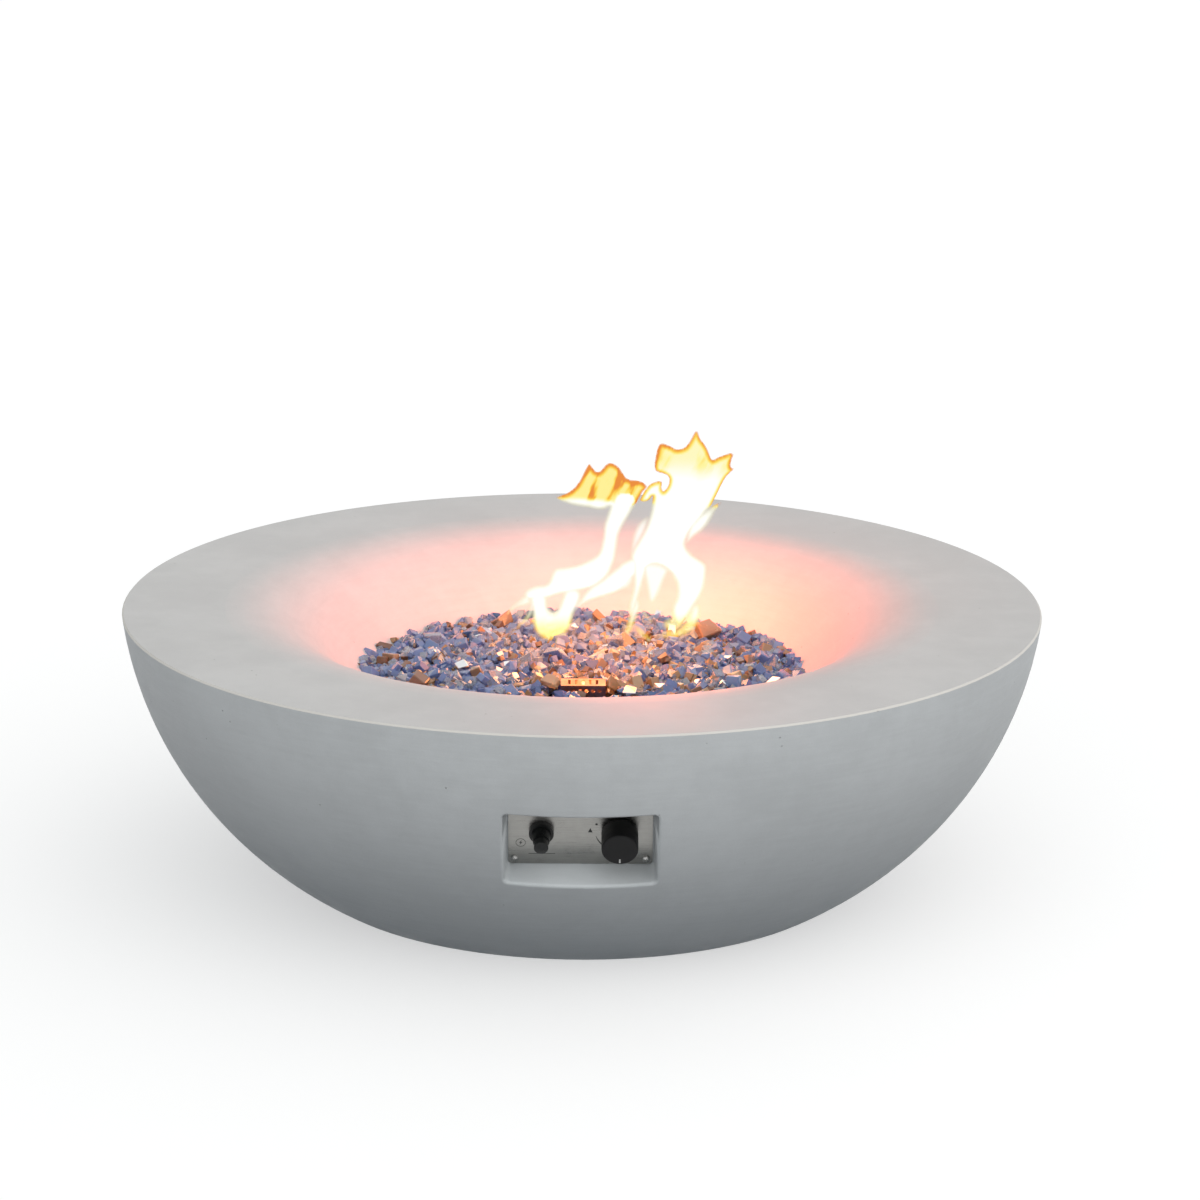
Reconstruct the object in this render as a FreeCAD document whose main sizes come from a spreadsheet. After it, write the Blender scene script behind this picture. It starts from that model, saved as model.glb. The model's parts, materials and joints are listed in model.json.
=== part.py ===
import FreeCAD, Part
import math
import os
import re
import Sketcher
from FreeCAD import Placement, Rotation, Vector

# Round concrete gas fire bowl. Millimetres. +Z is up, the origin is the centre of the base on the floor,
# and the control recess faces -Y.

SIZES = {
    # Concrete bowl: a flank that is one arc in section, a flat base and a crisp top edge.
    "rim_radius": 540,
    "bowl_height": 330,
    "base_radius": 322,
    "flank_arc": 445,
    "wall": 15,
    "floor_thickness": 18,
    "rim_chamfer": 2,
    "vent_radius": 12,
    "vent_circle": 225,
    "drain_radius": 45,
    # Concrete dish: flat rim, convex shoulder, straight slope and the ledge of the burner pan.
    "rim_flat_radius": 420,
    "dish_round": 170,
    "dish_slope": 42,
    "ledge_drop": 102,
    "pan_opening": 212,
    # Burner pan and its screws.
    "pan_radius": 208,
    "pan_flange": 236,
    "pan_depth": 40,
    "pan_sheet": 2,
    "pan_screw_circle": 224,
    "pan_drain_radius": 3,
    "pan_drain_circle": 180,
    "wide_screw_radius": 2.5,
    "wide_head_radius": 4.7,
    "wide_head_height": 3,
    "wide_screw_length": 13,
    "wide_insert_radius": 3.8,
    "wide_insert_length": 13,
    # Bed of lava rock and fire glass.
    "lava_depth": 16,
    "glass_drop": 82,
    "heap_pitch": 34,
    "heap_foot": 27,
    "heap_crown": 13,
    "heap_height": 7.5,
    "heap_sink": 1,
    "bed_gap": 0.3,
    # Double ring burner.
    "outer_ring": 170,
    "inner_ring": 70,
    "ring_tube": 8,
    "ring_bore": 6.8,
    "ring_level": 16,
    "hub_radius": 15,
    "hub_height": 25,
    "hub_socket": 9,
    "port_radius": 1.3,
    "foot_length": 24,
    "foot_width": 10,
    "foot_height": 10,
    # Feed pipe under the pan.
    "pipe_radius": 8.55,
    "pipe_bore": 6,
    "pipe_gap": 0.05,
    "pan_hole_gap": 0.45,
    "feed_washer_radius": 17,
    "feed_washer_thickness": 1.5,
    "feed_nut_flats": 27,
    "feed_nut_height": 7,
    "elbow_drop": 38,
    "elbow_radius": 13,
    "elbow_arm": 26,
    "elbow_rise": 20,
    "socket_depth": 12,
    # Air mixer, its shutter and the gas orifice.
    "mixer_radius": 14,
    "mixer_bore": 11,
    "mixer_collar_radius": 16,
    "mixer_collar_end": 34,
    "mixer_shoulder_start": 56,
    "mixer_shoulder_end": 59.9,
    "mixer_end": 92,
    "mixer_wall": 8,
    "shutter_gap": 0.06,
    "shutter_radius": 16,
    "shutter_start": 60,
    "shutter_end_gap": 0.1,
    "window_width": 12,
    "window_start": 66,
    "window_end": 82,
    "shutter_washer_radius": 17,
    "shutter_washer_thickness": 1.5,
    "orifice_radius": 6,
    "orifice_gap": 0.05,
    "jet_radius": 0.8,
    "jet_length": 4,
    "orifice_bore": 3,
    "orifice_flats": 20,
    "orifice_hex": 8,
    # Flare joints of the two gas hoses.
    "flare_radius": 7.95,
    "flare_length": 11.5,
    "flare_nose": 5.5,
    "flare_cone": 2.5,
    "flare_bore": 3,
    "hose_nut_flats": 22,
    "hose_nut_gap": 1,
    "hose_nut_length": 15,
    "hose_nut_bore": 8,
    "hose_nut_floor": 13.5,
    "hose_nut_hole": 6.6,
    "ferrule_collar": 7.8,
    "ferrule_collar_length": 1.8,
    "ferrule_radius": 6.5,
    "ferrule_end": 34,
    "hose_radius": 6,
    "hose_ahead": 60,
    # Gas inlet recess, low on the back.
    "inlet_height": 80,
    "inlet_set_back": 37.67,
    "inlet_wall": 15,
    "recess_width": 60,
    "recess_height": 52,
    "recess_corner": 8,
    "recess_rim": 12,
    "inlet_radius": 8.9,
    "inlet_gap": 0.4,
    "inlet_flats": 24,
    "inlet_hex": 7,
    "inlet_inner_end": 14,
    "inlet_nut_flats": 24,
    "inlet_nut_height": 7,
    "inlet_washer_radius": 15,
    "inlet_washer_thickness": 1.5,
    # Control recess: the panel leans, and the recess opens square to it.
    "panel_set_back": 51.7,
    "control_drop": 134.8,
    "panel_lean": 20,
    "panel_width": 157,
    "panel_tall": 99,
    "panel_below": 45.5,
    "panel_thickness": 1.5,
    "panel_gap": 1.5,
    "panel_corner": 4.5,
    "pocket_corner": 6,
    "pocket_reach": 90,
    "pocket_flare_side": 8,
    "pocket_flare_top": 1.5,
    "pocket_wall": 12,
    "pocket_lip": 3,
    "ledge_thickness": 13.5,
    "ledge_side": 17.5,
    "ledge_end": 17,
    "panel_screw_side": 6.5,
    "panel_screw_end": 7,
    "slim_screw_radius": 2,
    "slim_head_radius": 3.9,
    "slim_head_height": 2.4,
    "slim_screw_length": 12,
    "slim_washer_radius": 4.8,
    "slim_washer_thickness": 0.8,
    "slim_insert_radius": 3.2,
    "slim_insert_length": 12,
    "screw_gap": 0.1,
    "clear_gap": 0.4,
    "control_spacing": 85,
    # Gas valve behind the panel.
    "valve_half": 17,
    "valve_end": 56,
    "valve_boss_radius": 8.9,
    "valve_boss_length": 6,
    "valve_hole_gap": 0.3,
    "valve_chamber": 8.05,
    "chamber_front": 3,
    "chamber_end": 40,
    "valve_seat_radius": 5,
    "valve_seat_end": 46,
    "valve_port": 2.5,
    "inlet_port_level": 43,
    "outlet_port_level": 34,
    "valve_nut_flats": 24,
    "valve_nut_height": 5,
    "plug_gap": 0.05,
    "plug_top": 18,
    "plug_end": 38,
    "plug_slot_end": 30,
    "plug_slot_gap": 0.15,
    "plug_hole": 1.5,
    "plug_port": 2.5,
    "spindle_radius": 4,
    "spindle_gap": 0.1,
    "spindle_end": 28,
    "spindle_flat": 3,
    "spindle_flat_start": 12,
    "spindle_collar_radius": 7.6,
    "spindle_collar_gap": 0.3,
    "spindle_collar_end": 6,
    "tongue_width": 10,
    "tongue_thickness": 3,
    "tongue_end": 24,
    "rod_radius": 1.2,
    "rod_end": 44,
    "rod_gap": 0.1,
    "valve_spring_radius": 6.4,
    "valve_spring_turns": 5,
    "spring_wire": 0.5,
    "spring_gap": 0.1,
    "magnet_gap": 0.05,
    "magnet_front": 48.5,
    "magnet_flange_radius": 11,
    "magnet_flange_end": 62,
    "magnet_cap_radius": 6,
    "magnet_cap_end": 72,
    "magnet_nut_radius": 5,
    "magnet_nut_end": 80,
    # Knob.
    "knob_radius": 20,
    "knob_back": 5.5,
    "knob_face": 34,
    "knob_round": 2.5,
    "knob_recess_radius": 16.5,
    "knob_recess_end": 12,
    "knob_bore_end": 28.3,
    "knob_bore_gap": 0.05,
    "pointer_width": 1.6,
    "pointer_length": 5,
    "pointer_depth": 0.8,
    "pointer_start": 17.3,
    "pointer_proud": 0.1,
    "grub_radius": 2,
    "grub_length": 8,
    "grub_level": 20,
    # Push-button igniter.
    "igniter_radius": 10.8,
    "igniter_hole_gap": 0.2,
    "igniter_flange_radius": 13.5,
    "igniter_flange_height": 7,
    "igniter_back": 60,
    "igniter_bore": 9,
    "igniter_nut_flats": 26,
    "igniter_nut_height": 6.5,
    "igniter_cap_low_radius": 10.5,
    "igniter_cap_top_radius": 9,
    "igniter_cap_top": 20,
    "button_radius": 7.8,
    "button_gap": 0.1,
    "button_collar_radius": 8.7,
    "button_collar_length": 1.5,
    "button_edge": 31,
    "button_face": 33,
    "button_hollow": 5.2,
    "button_hollow_end": 20,
    "battery_radius": 5.25,
    "battery_gap": 0.35,
    "battery_length": 43.5,
    "battery_top": 1.9,
    "battery_nub_radius": 2.75,
    "battery_nub_length": 1,
    "igniter_spring_radius": 4.2,
    "igniter_spring_turns": 7,
    "blade_width": 4.8,
    "blade_thickness": 0.8,
    "blade_length": 8,
    "blade_spacing": 10,
    # Pilot parts between the two rings.
    "pilot_x": 2,
    "pilot_y": 98,
    "guard_width": 52,
    "guard_depth": 30,
    "guard_height": 70,
    "guard_sheet": 1.2,
    "guard_hole_radius": 2,
    "guard_hole_drop": 6.5,
    "guard_hole_pitch": 7.5,
    "guard_slot_width": 3,
    "guard_slot_length": 18,
    "guard_slot_pitch": 8,
    "ear_length": 12,
    "ear_width": 16,
    "bracket_length": 44,
    "bracket_width": 24,
    "bracket_thickness": 1.5,
    "fine_screw_radius": 1.5,
    "fine_head_radius": 2.8,
    "fine_head_height": 2,
    "fine_screw_length": 8,
    "probe_spacing": 18,
    "insulator_radius": 3.5,
    "insulator_start": 14,
    "insulator_end": 32,
    "electrode_radius": 1,
    "electrode_start": 22,
    "electrode_end": 48,
    "probe_collar_radius": 4.6,
    "probe_collar_height": 3,
    "thermo_radius": 2.4,
    "thermo_start": 18,
    "thermo_end": 46,
    "probe_gap": 0.2,
    "lead_radius": 1.5,
    "lead_end_gap": 0.3,
    "lead_ahead": 45,
    "lead_slack": 10,
    "lead_rise": 52,
    "ground_spacing": 35,
}

PORTS_OUTER = 36
PORTS_INNER = 18
QUARTERS = 4
VENTS = 6
DRAINS = 8
HEX_SIDES = 6
FULL_TURN = 360
GUARD_SLOTS = 5
GUARD_HOLES = 6
HEAPS = 46
GOLDEN_TURN = 137.508
HALF_STEP = 0.5
QUARTER_STEP = 0.25
RECESS_WIDTH = 1.0
RECESS_SHARE = 1.1
RECESS_DEPTH = 0.5
HEAD_EDGE = 0.4
BEND_SHARE = 0.45
TURNS_PER_FACE = 1
EDGE_SAMPLES = 5
TOUCH = 0.01

document = FreeCAD.newDocument("gas_fire_bowl")
sheet = document.addObject("Spreadsheet::Sheet", "sizes")
finished = []


def fill_sheet():
    """Every driving size goes into the sheet as a plain number with its name."""
    for row, (name, number) in enumerate(SIZES.items(), start=1):
        sheet.set(f"A{row}", name)
        sheet.set(f"B{row}", str(number))
        sheet.setAlias(f"B{row}", name)
    document.recompute()


def linked(text):
    """The expression with every size name pointing at its cell."""
    return re.sub(
        r"[a-z_][a-z_0-9]*",
        lambda word: "sizes." + word.group(0) if word.group(0) in SIZES else word.group(0),
        str(text),
    )


def value(text):
    """The number that an expression of size names stands for."""
    return float(sheet.evalExpression(str(text)))


def bind(thing, prop, text):
    thing.setExpression(prop, linked(text))


# ---------------------------------------------------------------------------
# Places
# ---------------------------------------------------------------------------

LEAN = "(panel_lean * 1 deg)"


def put(thing, x="0", y="0", z="0", axis=(0, 0, 1), angle="0"):
    """Places a thing, with its position and turn bound to the sheet."""
    thing.Placement = Placement(Vector(0, 0, 0), Rotation(Vector(*axis), value(angle)))
    bind(thing, "Placement.Base.x", x)
    bind(thing, "Placement.Base.y", y)
    bind(thing, "Placement.Base.z", z)
    if angle != "0":
        bind(thing, "Placement.Rotation.Angle", angle)
    return thing


def panel_point(x, y, z):
    """A point given across, up and out of the panel, as expressions in the bowl's frame."""
    return (
        f"{x}",
        f"0 - {PANEL_RADIUS} - ({y}) * sin({LEAN}) - ({z}) * cos({LEAN})",
        f"{CONTROL_HEIGHT} + ({y}) * cos({LEAN}) - ({z}) * sin({LEAN})",
    )


def put_on_panel(thing, x="0", y="0", z="0"):
    """The thing's own Z points out of the panel and its own Y points up along it."""
    return put(thing, *panel_point(x, y, z), axis=(1, 0, 0), angle="90 + panel_lean")


def put_sideways(thing, x="0", y="0", z="0"):
    """The thing's own Z points along +X."""
    return put(thing, x, y, z, axis=(0, 1, 0), angle="90")


# ---------------------------------------------------------------------------
# Solids
# ---------------------------------------------------------------------------


def arc_between(first, last, radius, turn):
    """The short arc of a given radius from one point to another; turn is +1 for anticlockwise."""
    middle = (first + last) * 0.5
    chord = last - first
    height = math.sqrt(max(radius**2 - (chord.Length / 2) ** 2, 0))
    left = Vector(-chord.y, chord.x, 0).normalize()
    centre = middle + left * (height * turn)
    start, end = (first, last) if turn > 0 else (last, first)
    circle = Part.Circle(centre, Vector(0, 0, 1), radius)
    start_angle = math.atan2(start.y - centre.y, start.x - centre.x)
    end_angle = math.atan2(end.y - centre.y, end.x - centre.x)
    return Part.ArcOfCircle(circle, start_angle, end_angle)


def draw_outline(sketch, corners, arcs):
    """A closed outline; arcs gives the radius and turn of the edges that aren't straight."""
    points = [Vector(value(x), value(y), 0) for x, y in corners]
    ends = []
    for index, point in enumerate(points):
        following = points[(index + 1) % len(points)]
        if index in arcs:
            radius, turn = arcs[index]
            edge = sketch.addGeometry(arc_between(point, following, value(radius), turn))
            limit = sketch.addConstraint(Sketcher.Constraint("Radius", edge, value(radius)))
            bind(sketch, f"Constraints[{limit}]", radius)
            ends.append((edge, 1, 2) if turn > 0 else (edge, 2, 1))
        else:
            edge = sketch.addGeometry(Part.LineSegment(point, following))
            ends.append((edge, 1, 2))
    for index, (edge, first, last) in enumerate(ends):
        next_edge, next_first, _ = ends[(index + 1) % len(ends)]
        sketch.addConstraint(Sketcher.Constraint("Coincident", edge, last, next_edge, next_first))
        for kind, text in zip(("DistanceX", "DistanceY"), corners[index]):
            limit = sketch.addConstraint(Sketcher.Constraint(kind, -1, 1, edge, first, value(text)))
            if str(text) != "0":
                bind(sketch, f"Constraints[{limit}]", text)


def draw_circles(sketch, centres, radius):
    for centre in centres:
        point = Vector(value(centre[0]), value(centre[1]), 0)
        circle = sketch.addGeometry(Part.Circle(point, Vector(0, 0, 1), value(radius)))
        limit = sketch.addConstraint(Sketcher.Constraint("Radius", circle, value(radius)))
        bind(sketch, f"Constraints[{limit}]", radius)
        for kind, text in zip(("DistanceX", "DistanceY"), centre):
            limit = sketch.addConstraint(Sketcher.Constraint(kind, -1, 1, circle, 3, value(text)))
            if str(text) != "0":
                bind(sketch, f"Constraints[{limit}]", text)


def body_sketch(body, role):
    """A sketch on one of the body's own origin planes."""
    plane = [item for item in body.Origin.OriginFeatures if item.Role == role][0]
    sketch = body.newObject("Sketcher::SketchObject", "outline")
    sketch.AttachmentSupport = [(plane, "")]
    sketch.MapMode = "FlatFace"
    return sketch


def turned(corners, arcs=None):
    """A body of revolution about its own Z, from (radius, height) corners."""
    body = document.addObject("PartDesign::Body", "turned")
    sketch = body_sketch(body, "XZ_Plane")
    draw_outline(sketch, corners, arcs or {})
    revolution = body.newObject("PartDesign::Revolution", "revolution")
    revolution.Profile = sketch
    revolution.ReferenceAxis = (sketch, ["V_Axis"])
    revolution.Angle = FULL_TURN
    return body


def padded(corners, height, arcs=None, holes=(), hole_radius=None):
    """A plate in its own XY plane, from (x, y) corners, with round holes."""
    body = document.addObject("PartDesign::Body", "padded")
    sketch = body_sketch(body, "XY_Plane")
    draw_outline(sketch, corners, arcs or {})
    if holes:
        draw_circles(sketch, holes, hole_radius)
    pad = body.newObject("PartDesign::Pad", "pad")
    pad.Profile = sketch
    bind(pad, "Length", height)
    return body


def rounded_rectangle(width, tall, middle, corner):
    """Corners and arcs of a rectangle with rounded corners, centred on x = 0 and y = middle."""
    right = f"(({width}) / 2)"
    top = f"(({middle}) + ({tall}) / 2)"
    low = f"(({middle}) - ({tall}) / 2)"
    corners = [
        (f"{right} - ({corner})", low),
        (right, f"{low} + ({corner})"),
        (right, f"{top} - ({corner})"),
        (f"{right} - ({corner})", top),
        (f"-{right} + ({corner})", top),
        (f"-{right}", f"{top} - ({corner})"),
        (f"-{right}", f"{low} + ({corner})"),
        (f"-{right} + ({corner})", low),
    ]
    arcs = {index: (corner, 1) for index in (0, 2, 4, 6)}
    return corners, arcs


def lofted(lower, upper, height):
    """A body that changes from one outline to another over a height."""
    body = document.addObject("PartDesign::Body", "lofted")
    near = body_sketch(body, "XY_Plane")
    draw_outline(near, *lower)
    far = body_sketch(body, "XY_Plane")
    far.AttachmentOffset = Placement(Vector(0, 0, value(height)), Rotation())
    bind(far, "AttachmentOffset.Base.z", height)
    draw_outline(far, *upper)
    loft = body.newObject("PartDesign::AdditiveLoft", "loft")
    loft.Profile = near
    loft.Sections = [far]
    loft.Ruled = True
    return body


def cylinder(radius, height, x="0", y="0", z="0", axis=(0, 0, 1), angle="0"):
    thing = document.addObject("Part::Cylinder", "cylinder")
    bind(thing, "Radius", radius)
    bind(thing, "Height", height)
    return put(thing, x, y, z, axis, angle)


def torus(ring, tube, z="0"):
    thing = document.addObject("Part::Torus", "torus")
    bind(thing, "Radius1", ring)
    bind(thing, "Radius2", tube)
    return put(thing, z=z)


def sphere(radius):
    thing = document.addObject("Part::Sphere", "sphere")
    bind(thing, "Radius", radius)
    return thing


def box(across, deep, tall, x="0", y="0", z="0"):
    """A box centred on x and y that stands on z."""
    thing = document.addObject("Part::Box", "box")
    bind(thing, "Length", across)
    bind(thing, "Width", deep)
    bind(thing, "Height", tall)
    return put(thing, f"({x}) - ({across}) / 2", f"({y}) - ({deep}) / 2", z)


def hexagon(flats, height, z="0"):
    thing = document.addObject("Part::Prism", "hexagon")
    thing.Polygon = HEX_SIDES
    bind(thing, "Circumradius", f"({flats}) / 2 / cos(30 deg)")
    bind(thing, "Height", height)
    return put(thing, z=z)


def drills(centres, radius, height, z="0"):
    """Upright cylinders at several places, from one sketch."""
    sketch = document.addObject("Sketcher::SketchObject", "centres")
    draw_circles(sketch, centres, radius)
    thing = document.addObject("Part::Extrusion", "drills")
    thing.Base = sketch
    thing.DirMode = "Normal"
    thing.Solid = True
    bind(thing, "LengthFwd", height)
    return put(thing, z=z)


def ring_of(count, circle, ahead=0):
    """Places evenly spaced on a circle, the first ahead of the X axis by a share of one step."""
    step = FULL_TURN / count
    angles = [f"{step * (index + ahead)} * 1 deg" for index in range(count)]
    return [(f"{circle} * cos({angle})", f"{circle} * sin({angle})") for angle in angles]


def row_of(count, pitch):
    """Places evenly spaced on a line, with the middle of the row at 0."""
    return [f"{pitch} * {index - (count - 1) / 2}" for index in range(count)]


def join(*things):
    if len(things) == 1:
        return things[0]
    result = document.addObject("Part::MultiFuse", "join")
    result.Shapes = list(things)
    return result


def overlap(*things):
    result = document.addObject("Part::MultiCommon", "overlap")
    result.Shapes = list(things)
    return result


def cut(base, *tools):
    result = document.addObject("Part::Cut", "cut")
    result.Base = base
    result.Tool = join(*tools)
    return result


def group(*things):
    result = document.addObject("Part::Compound", "group")
    result.Links = list(things)
    return result


def finish(name, thing):
    """Names a finished sub-part."""
    thing.Label = name
    finished.append(thing)
    return thing


def spring(radius, wire, turns, length, z):
    """A round-wire coil about its own Z, from its lowest point at z."""
    helix = document.addObject("Part::Helix", "helix")
    bind(helix, "Radius", radius)
    bind(helix, "Height", f"({length}) - 2 * ({wire})")
    bind(helix, "Pitch", f"(({length}) - 2 * ({wire})) / {turns}")
    helix.SegmentLength = TURNS_PER_FACE
    section = document.addObject("Part::Circle", "section")
    bind(section, "Radius", wire)
    put(section, x=radius, axis=(1, 0, 0), angle="90")
    coil = document.addObject("Part::Sweep", "coil")
    coil.Sections = [section]
    coil.Spine = (helix, [])
    coil.Solid = True
    coil.Frenet = True
    return group(put(coil, z=f"({z}) + ({wire})"))


def screw(radius, head_radius, head_height, length):
    """A pan-head screw that points along its own -Z, with its seat at z = 0 and a cross recess."""
    rise = f"({head_height}) * (1 - {HEAD_EDGE})"
    crown = f"(pow({head_radius}; 2) / (2 * {rise}) + {rise} / 2)"
    blank = turned(
        [
            ("0", f"-({length})"),
            (radius, f"-({length})"),
            (radius, "0"),
            (head_radius, "0"),
            (head_radius, f"({head_height}) * {HEAD_EDGE}"),
            ("0", head_height),
        ],
        {4: (crown, 1)},
    )
    slot = f"({head_radius}) * {RECESS_SHARE}"
    depth = f"({head_height}) * {RECESS_DEPTH}"
    along = box(slot, RECESS_WIDTH, head_height, z=depth)
    across = box(RECESS_WIDTH, slot, head_height, z=depth)
    return cut(blank, along, across)


def bent_tube(points, radius):
    """A round tube through points, with an arc as large as its runs allow at each one between."""
    runs = [(second - first).Length for first, second in zip(points, points[1:])]
    edges = []
    start = points[0]
    for index in range(1, len(points) - 1):
        before = (points[index] - points[index - 1]).normalize()
        after = (points[index + 1] - points[index]).normalize()
        turn = before.getAngle(after)
        back = BEND_SHARE * min(runs[index - 1], runs[index])
        bend = back / math.tan(turn / 2)
        inward = (after - before).normalize()
        centre = points[index] + inward * (bend / math.cos(turn / 2))
        entry = points[index] - before * back
        leave = points[index] + after * back
        middle = centre - inward * bend
        edges.append(Part.LineSegment(start, entry).toShape())
        edges.append(Part.Arc(entry, middle, leave).toShape())
        start = leave
    edges.append(Part.LineSegment(start, points[-1]).toShape())
    path = Part.Wire(edges)
    heading = (points[1] - points[0]).normalize()
    section = Part.Wire([Part.Circle(points[0], heading, radius).toShape()])
    tube = path.makePipeShell([section], True, False)
    print("tube volume ratio", round(tube.Volume / (math.pi * radius**2 * path.Length), 4))
    thing = document.addObject("Part::Feature", "tube")
    thing.Shape = tube
    return thing


def place_of(point):
    """A point's expressions as a vector."""
    return Vector(*[value(text) for text in point])


def route(*points):
    """The points of a hose or lead, each given as a vector or as three expressions."""
    return [point if isinstance(point, Vector) else place_of(point) for point in points]


# ---------------------------------------------------------------------------
# Shared levels and shapes
# ---------------------------------------------------------------------------

SLOPE = "(dish_slope * 1 deg)"
CHORD = "sqrt(pow(rim_radius - base_radius; 2) + pow(bowl_height; 2))"
RISE = f"sqrt(pow(flank_arc; 2) - pow({CHORD} / 2; 2))"
ARC_RADIUS_CENTRE = f"((rim_radius + base_radius) / 2 - bowl_height * {RISE} / {CHORD})"
ARC_HEIGHT_CENTRE = f"(bowl_height / 2 + (rim_radius - base_radius) * {RISE} / {CHORD})"
SHOULDER_RADIUS = f"(rim_flat_radius - dish_round * sin({SLOPE}))"
SHOULDER_HEIGHT = f"(bowl_height - dish_round * (1 - cos({SLOPE})))"
UNDER_RADIUS = f"(rim_flat_radius - (dish_round - wall) * sin({SLOPE}))"
UNDER_HEIGHT = f"(bowl_height - dish_round + (dish_round - wall) * cos({SLOPE}))"
LEDGE = "(bowl_height - ledge_drop)"
PAN_TOP = f"({LEDGE} + pan_sheet)"
PAN_UNDERSIDE = f"({LEDGE} - pan_depth)"
PAN_FLOOR = f"({PAN_UNDERSIDE} + pan_sheet)"
LAVA_TOP = f"({PAN_FLOOR} + lava_depth)"
GLASS_TOP = "(bowl_height - glass_drop)"
RING_Z = f"({PAN_FLOOR} + ring_level)"
ELBOW_Z = f"({PAN_UNDERSIDE} - elbow_drop)"
POCKET_MIDDLE = "(panel_tall / 2 - panel_below)"
KNOB_X = "(control_spacing / 2)"
IGNITER_X = "(0 - control_spacing / 2)"


def flank_radius(height, depth="0"):
    """Radius of the flank, or of a surface inside it by a depth, at a height."""
    reach = f"sqrt(pow(flank_arc - ({depth}); 2) - pow(({height}) - {ARC_HEIGHT_CENTRE}; 2))"
    return f"({ARC_RADIUS_CENTRE} + {reach})"


def slope_radius(height):
    """Radius of the dish's straight slope at a height."""
    return f"({SHOULDER_RADIUS} - ({SHOULDER_HEIGHT} - ({height})) / tan({SLOPE}))"


def under_radius(height):
    """Radius of the slope's underside at a height."""
    return f"({UNDER_RADIUS} - ({UNDER_HEIGHT} - ({height})) / tan({SLOPE}))"


CONTROL_HEIGHT = "(bowl_height - control_drop)"
PANEL_RADIUS = f"({flank_radius(CONTROL_HEIGHT)} - panel_set_back)"
INLET_SEAT = f"({flank_radius('inlet_height')} - inlet_set_back)"


# ---------------------------------------------------------------------------
# Concrete
# ---------------------------------------------------------------------------


def bowl_envelope():
    edge = "bowl_height - rim_chamfer"
    return turned(
        [
            ("0", "0"),
            ("base_radius", "0"),
            (flank_radius(edge), edge),
            ("rim_radius - rim_chamfer", "bowl_height"),
            ("0", "bowl_height"),
        ],
        {1: ("flank_arc", 1)},
    )


def bowl_cavity():
    return turned(
        [
            ("0", "floor_thickness"),
            (flank_radius("floor_thickness", "wall"), "floor_thickness"),
            (flank_radius("bowl_height - wall", "wall"), "bowl_height - wall"),
            ("rim_radius - rim_chamfer", "bowl_height"),
            ("0", "bowl_height"),
        ],
        {1: ("flank_arc - wall", 1)},
    )


def pocket_block():
    """Concrete around the control recess, before the recess is cut."""
    side = "panel_width + 2 * (panel_gap + pocket_wall)"
    tall = "panel_tall + 2 * (panel_gap + pocket_wall)"
    depth = "pocket_reach + panel_thickness + ledge_thickness"
    block = box(side, tall, depth, y=POCKET_MIDDLE, z="-panel_thickness - ledge_thickness")
    return put_on_panel(group(block))


def pocket_space():
    """The control recess itself, wider at its mouth."""
    side = "panel_width + 2 * panel_gap"
    tall = "panel_tall + 2 * panel_gap"
    near = rounded_rectangle(side, tall, POCKET_MIDDLE, "pocket_corner")
    far = rounded_rectangle(
        f"({side}) + 2 * pocket_flare_side",
        f"({tall}) + 2 * pocket_flare_top",
        POCKET_MIDDLE,
        "pocket_corner + 1",
    )
    space = lofted(near, far, "pocket_reach + panel_thickness")
    return put_on_panel(space, z="-panel_thickness")


def panel_window():
    """The opening behind the panel, inside the ledge that the panel rests on."""
    side = "panel_width + 2 * (panel_gap - ledge_side)"
    tall = "panel_tall + 2 * (panel_gap - ledge_end)"
    deep = "ledge_thickness * 2 + panel_thickness"
    window = box(side, tall, deep, y=POCKET_MIDDLE, z="-ledge_thickness * 2")
    return put_on_panel(group(window))


def panel_screw_places():
    side = "(panel_width / 2 - panel_screw_side)"
    low = "(panel_screw_end - panel_below)"
    high = "(panel_tall - panel_below - panel_screw_end)"
    return [(sign + side, level) for level in (low, high) for sign in ("-", "")]


def panel_insert_holes():
    length = "slim_insert_length"
    holes = drills(panel_screw_places(), "slim_insert_radius", length, z=f"0 - {length}")
    return put_on_panel(group(holes), z="-panel_thickness")


def inlet_block():
    depth = f"rim_radius - {INLET_SEAT} + inlet_wall"
    side = "recess_width + 2 * recess_rim"
    tall = "recess_height + 2 * recess_rim"
    back = f"{INLET_SEAT} - inlet_wall"
    return box(side, depth, tall, y=f"{back} + ({depth}) / 2", z=f"inlet_height - ({tall}) / 2")


def inlet_space():
    corners, arcs = rounded_rectangle("recess_width", "recess_height", "0", "recess_corner")
    space = padded(corners, f"rim_radius - {INLET_SEAT}", arcs)
    return put(space, y=INLET_SEAT, z="inlet_height", axis=(1, 0, 0), angle="-90")


def inlet_hole():
    length = "inlet_wall * 2"
    return cylinder(
        "inlet_radius + inlet_gap",
        length,
        y=f"{INLET_SEAT} - {length}",
        z="inlet_height",
        axis=(1, 0, 0),
        angle="-90",
    )


def lip_edges(shape):
    """Numbers of the edges where the control recess breaks through the flank."""
    centre_radius = value(ARC_RADIUS_CENTRE)
    centre_height = value(ARC_HEIGHT_CENTRE)
    arc = value("flank_arc")
    side = value("panel_width")
    near = value("0 - base_radius")
    top = value("bowl_height - wall")
    numbers = []
    for number, edge in enumerate(shape.Edges, start=1):
        points = edge.discretize(EDGE_SAMPLES)
        reaches = [math.hypot(math.hypot(p.x, p.y) - centre_radius, p.z - centre_height) for p in points]
        on_flank = all(abs(reach - arc) < TOUCH for reach in reaches)
        in_front = all(abs(p.x) < side and p.y < near and p.z < top for p in points)
        if on_flank and in_front:
            numbers.append(number)
    return numbers


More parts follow.
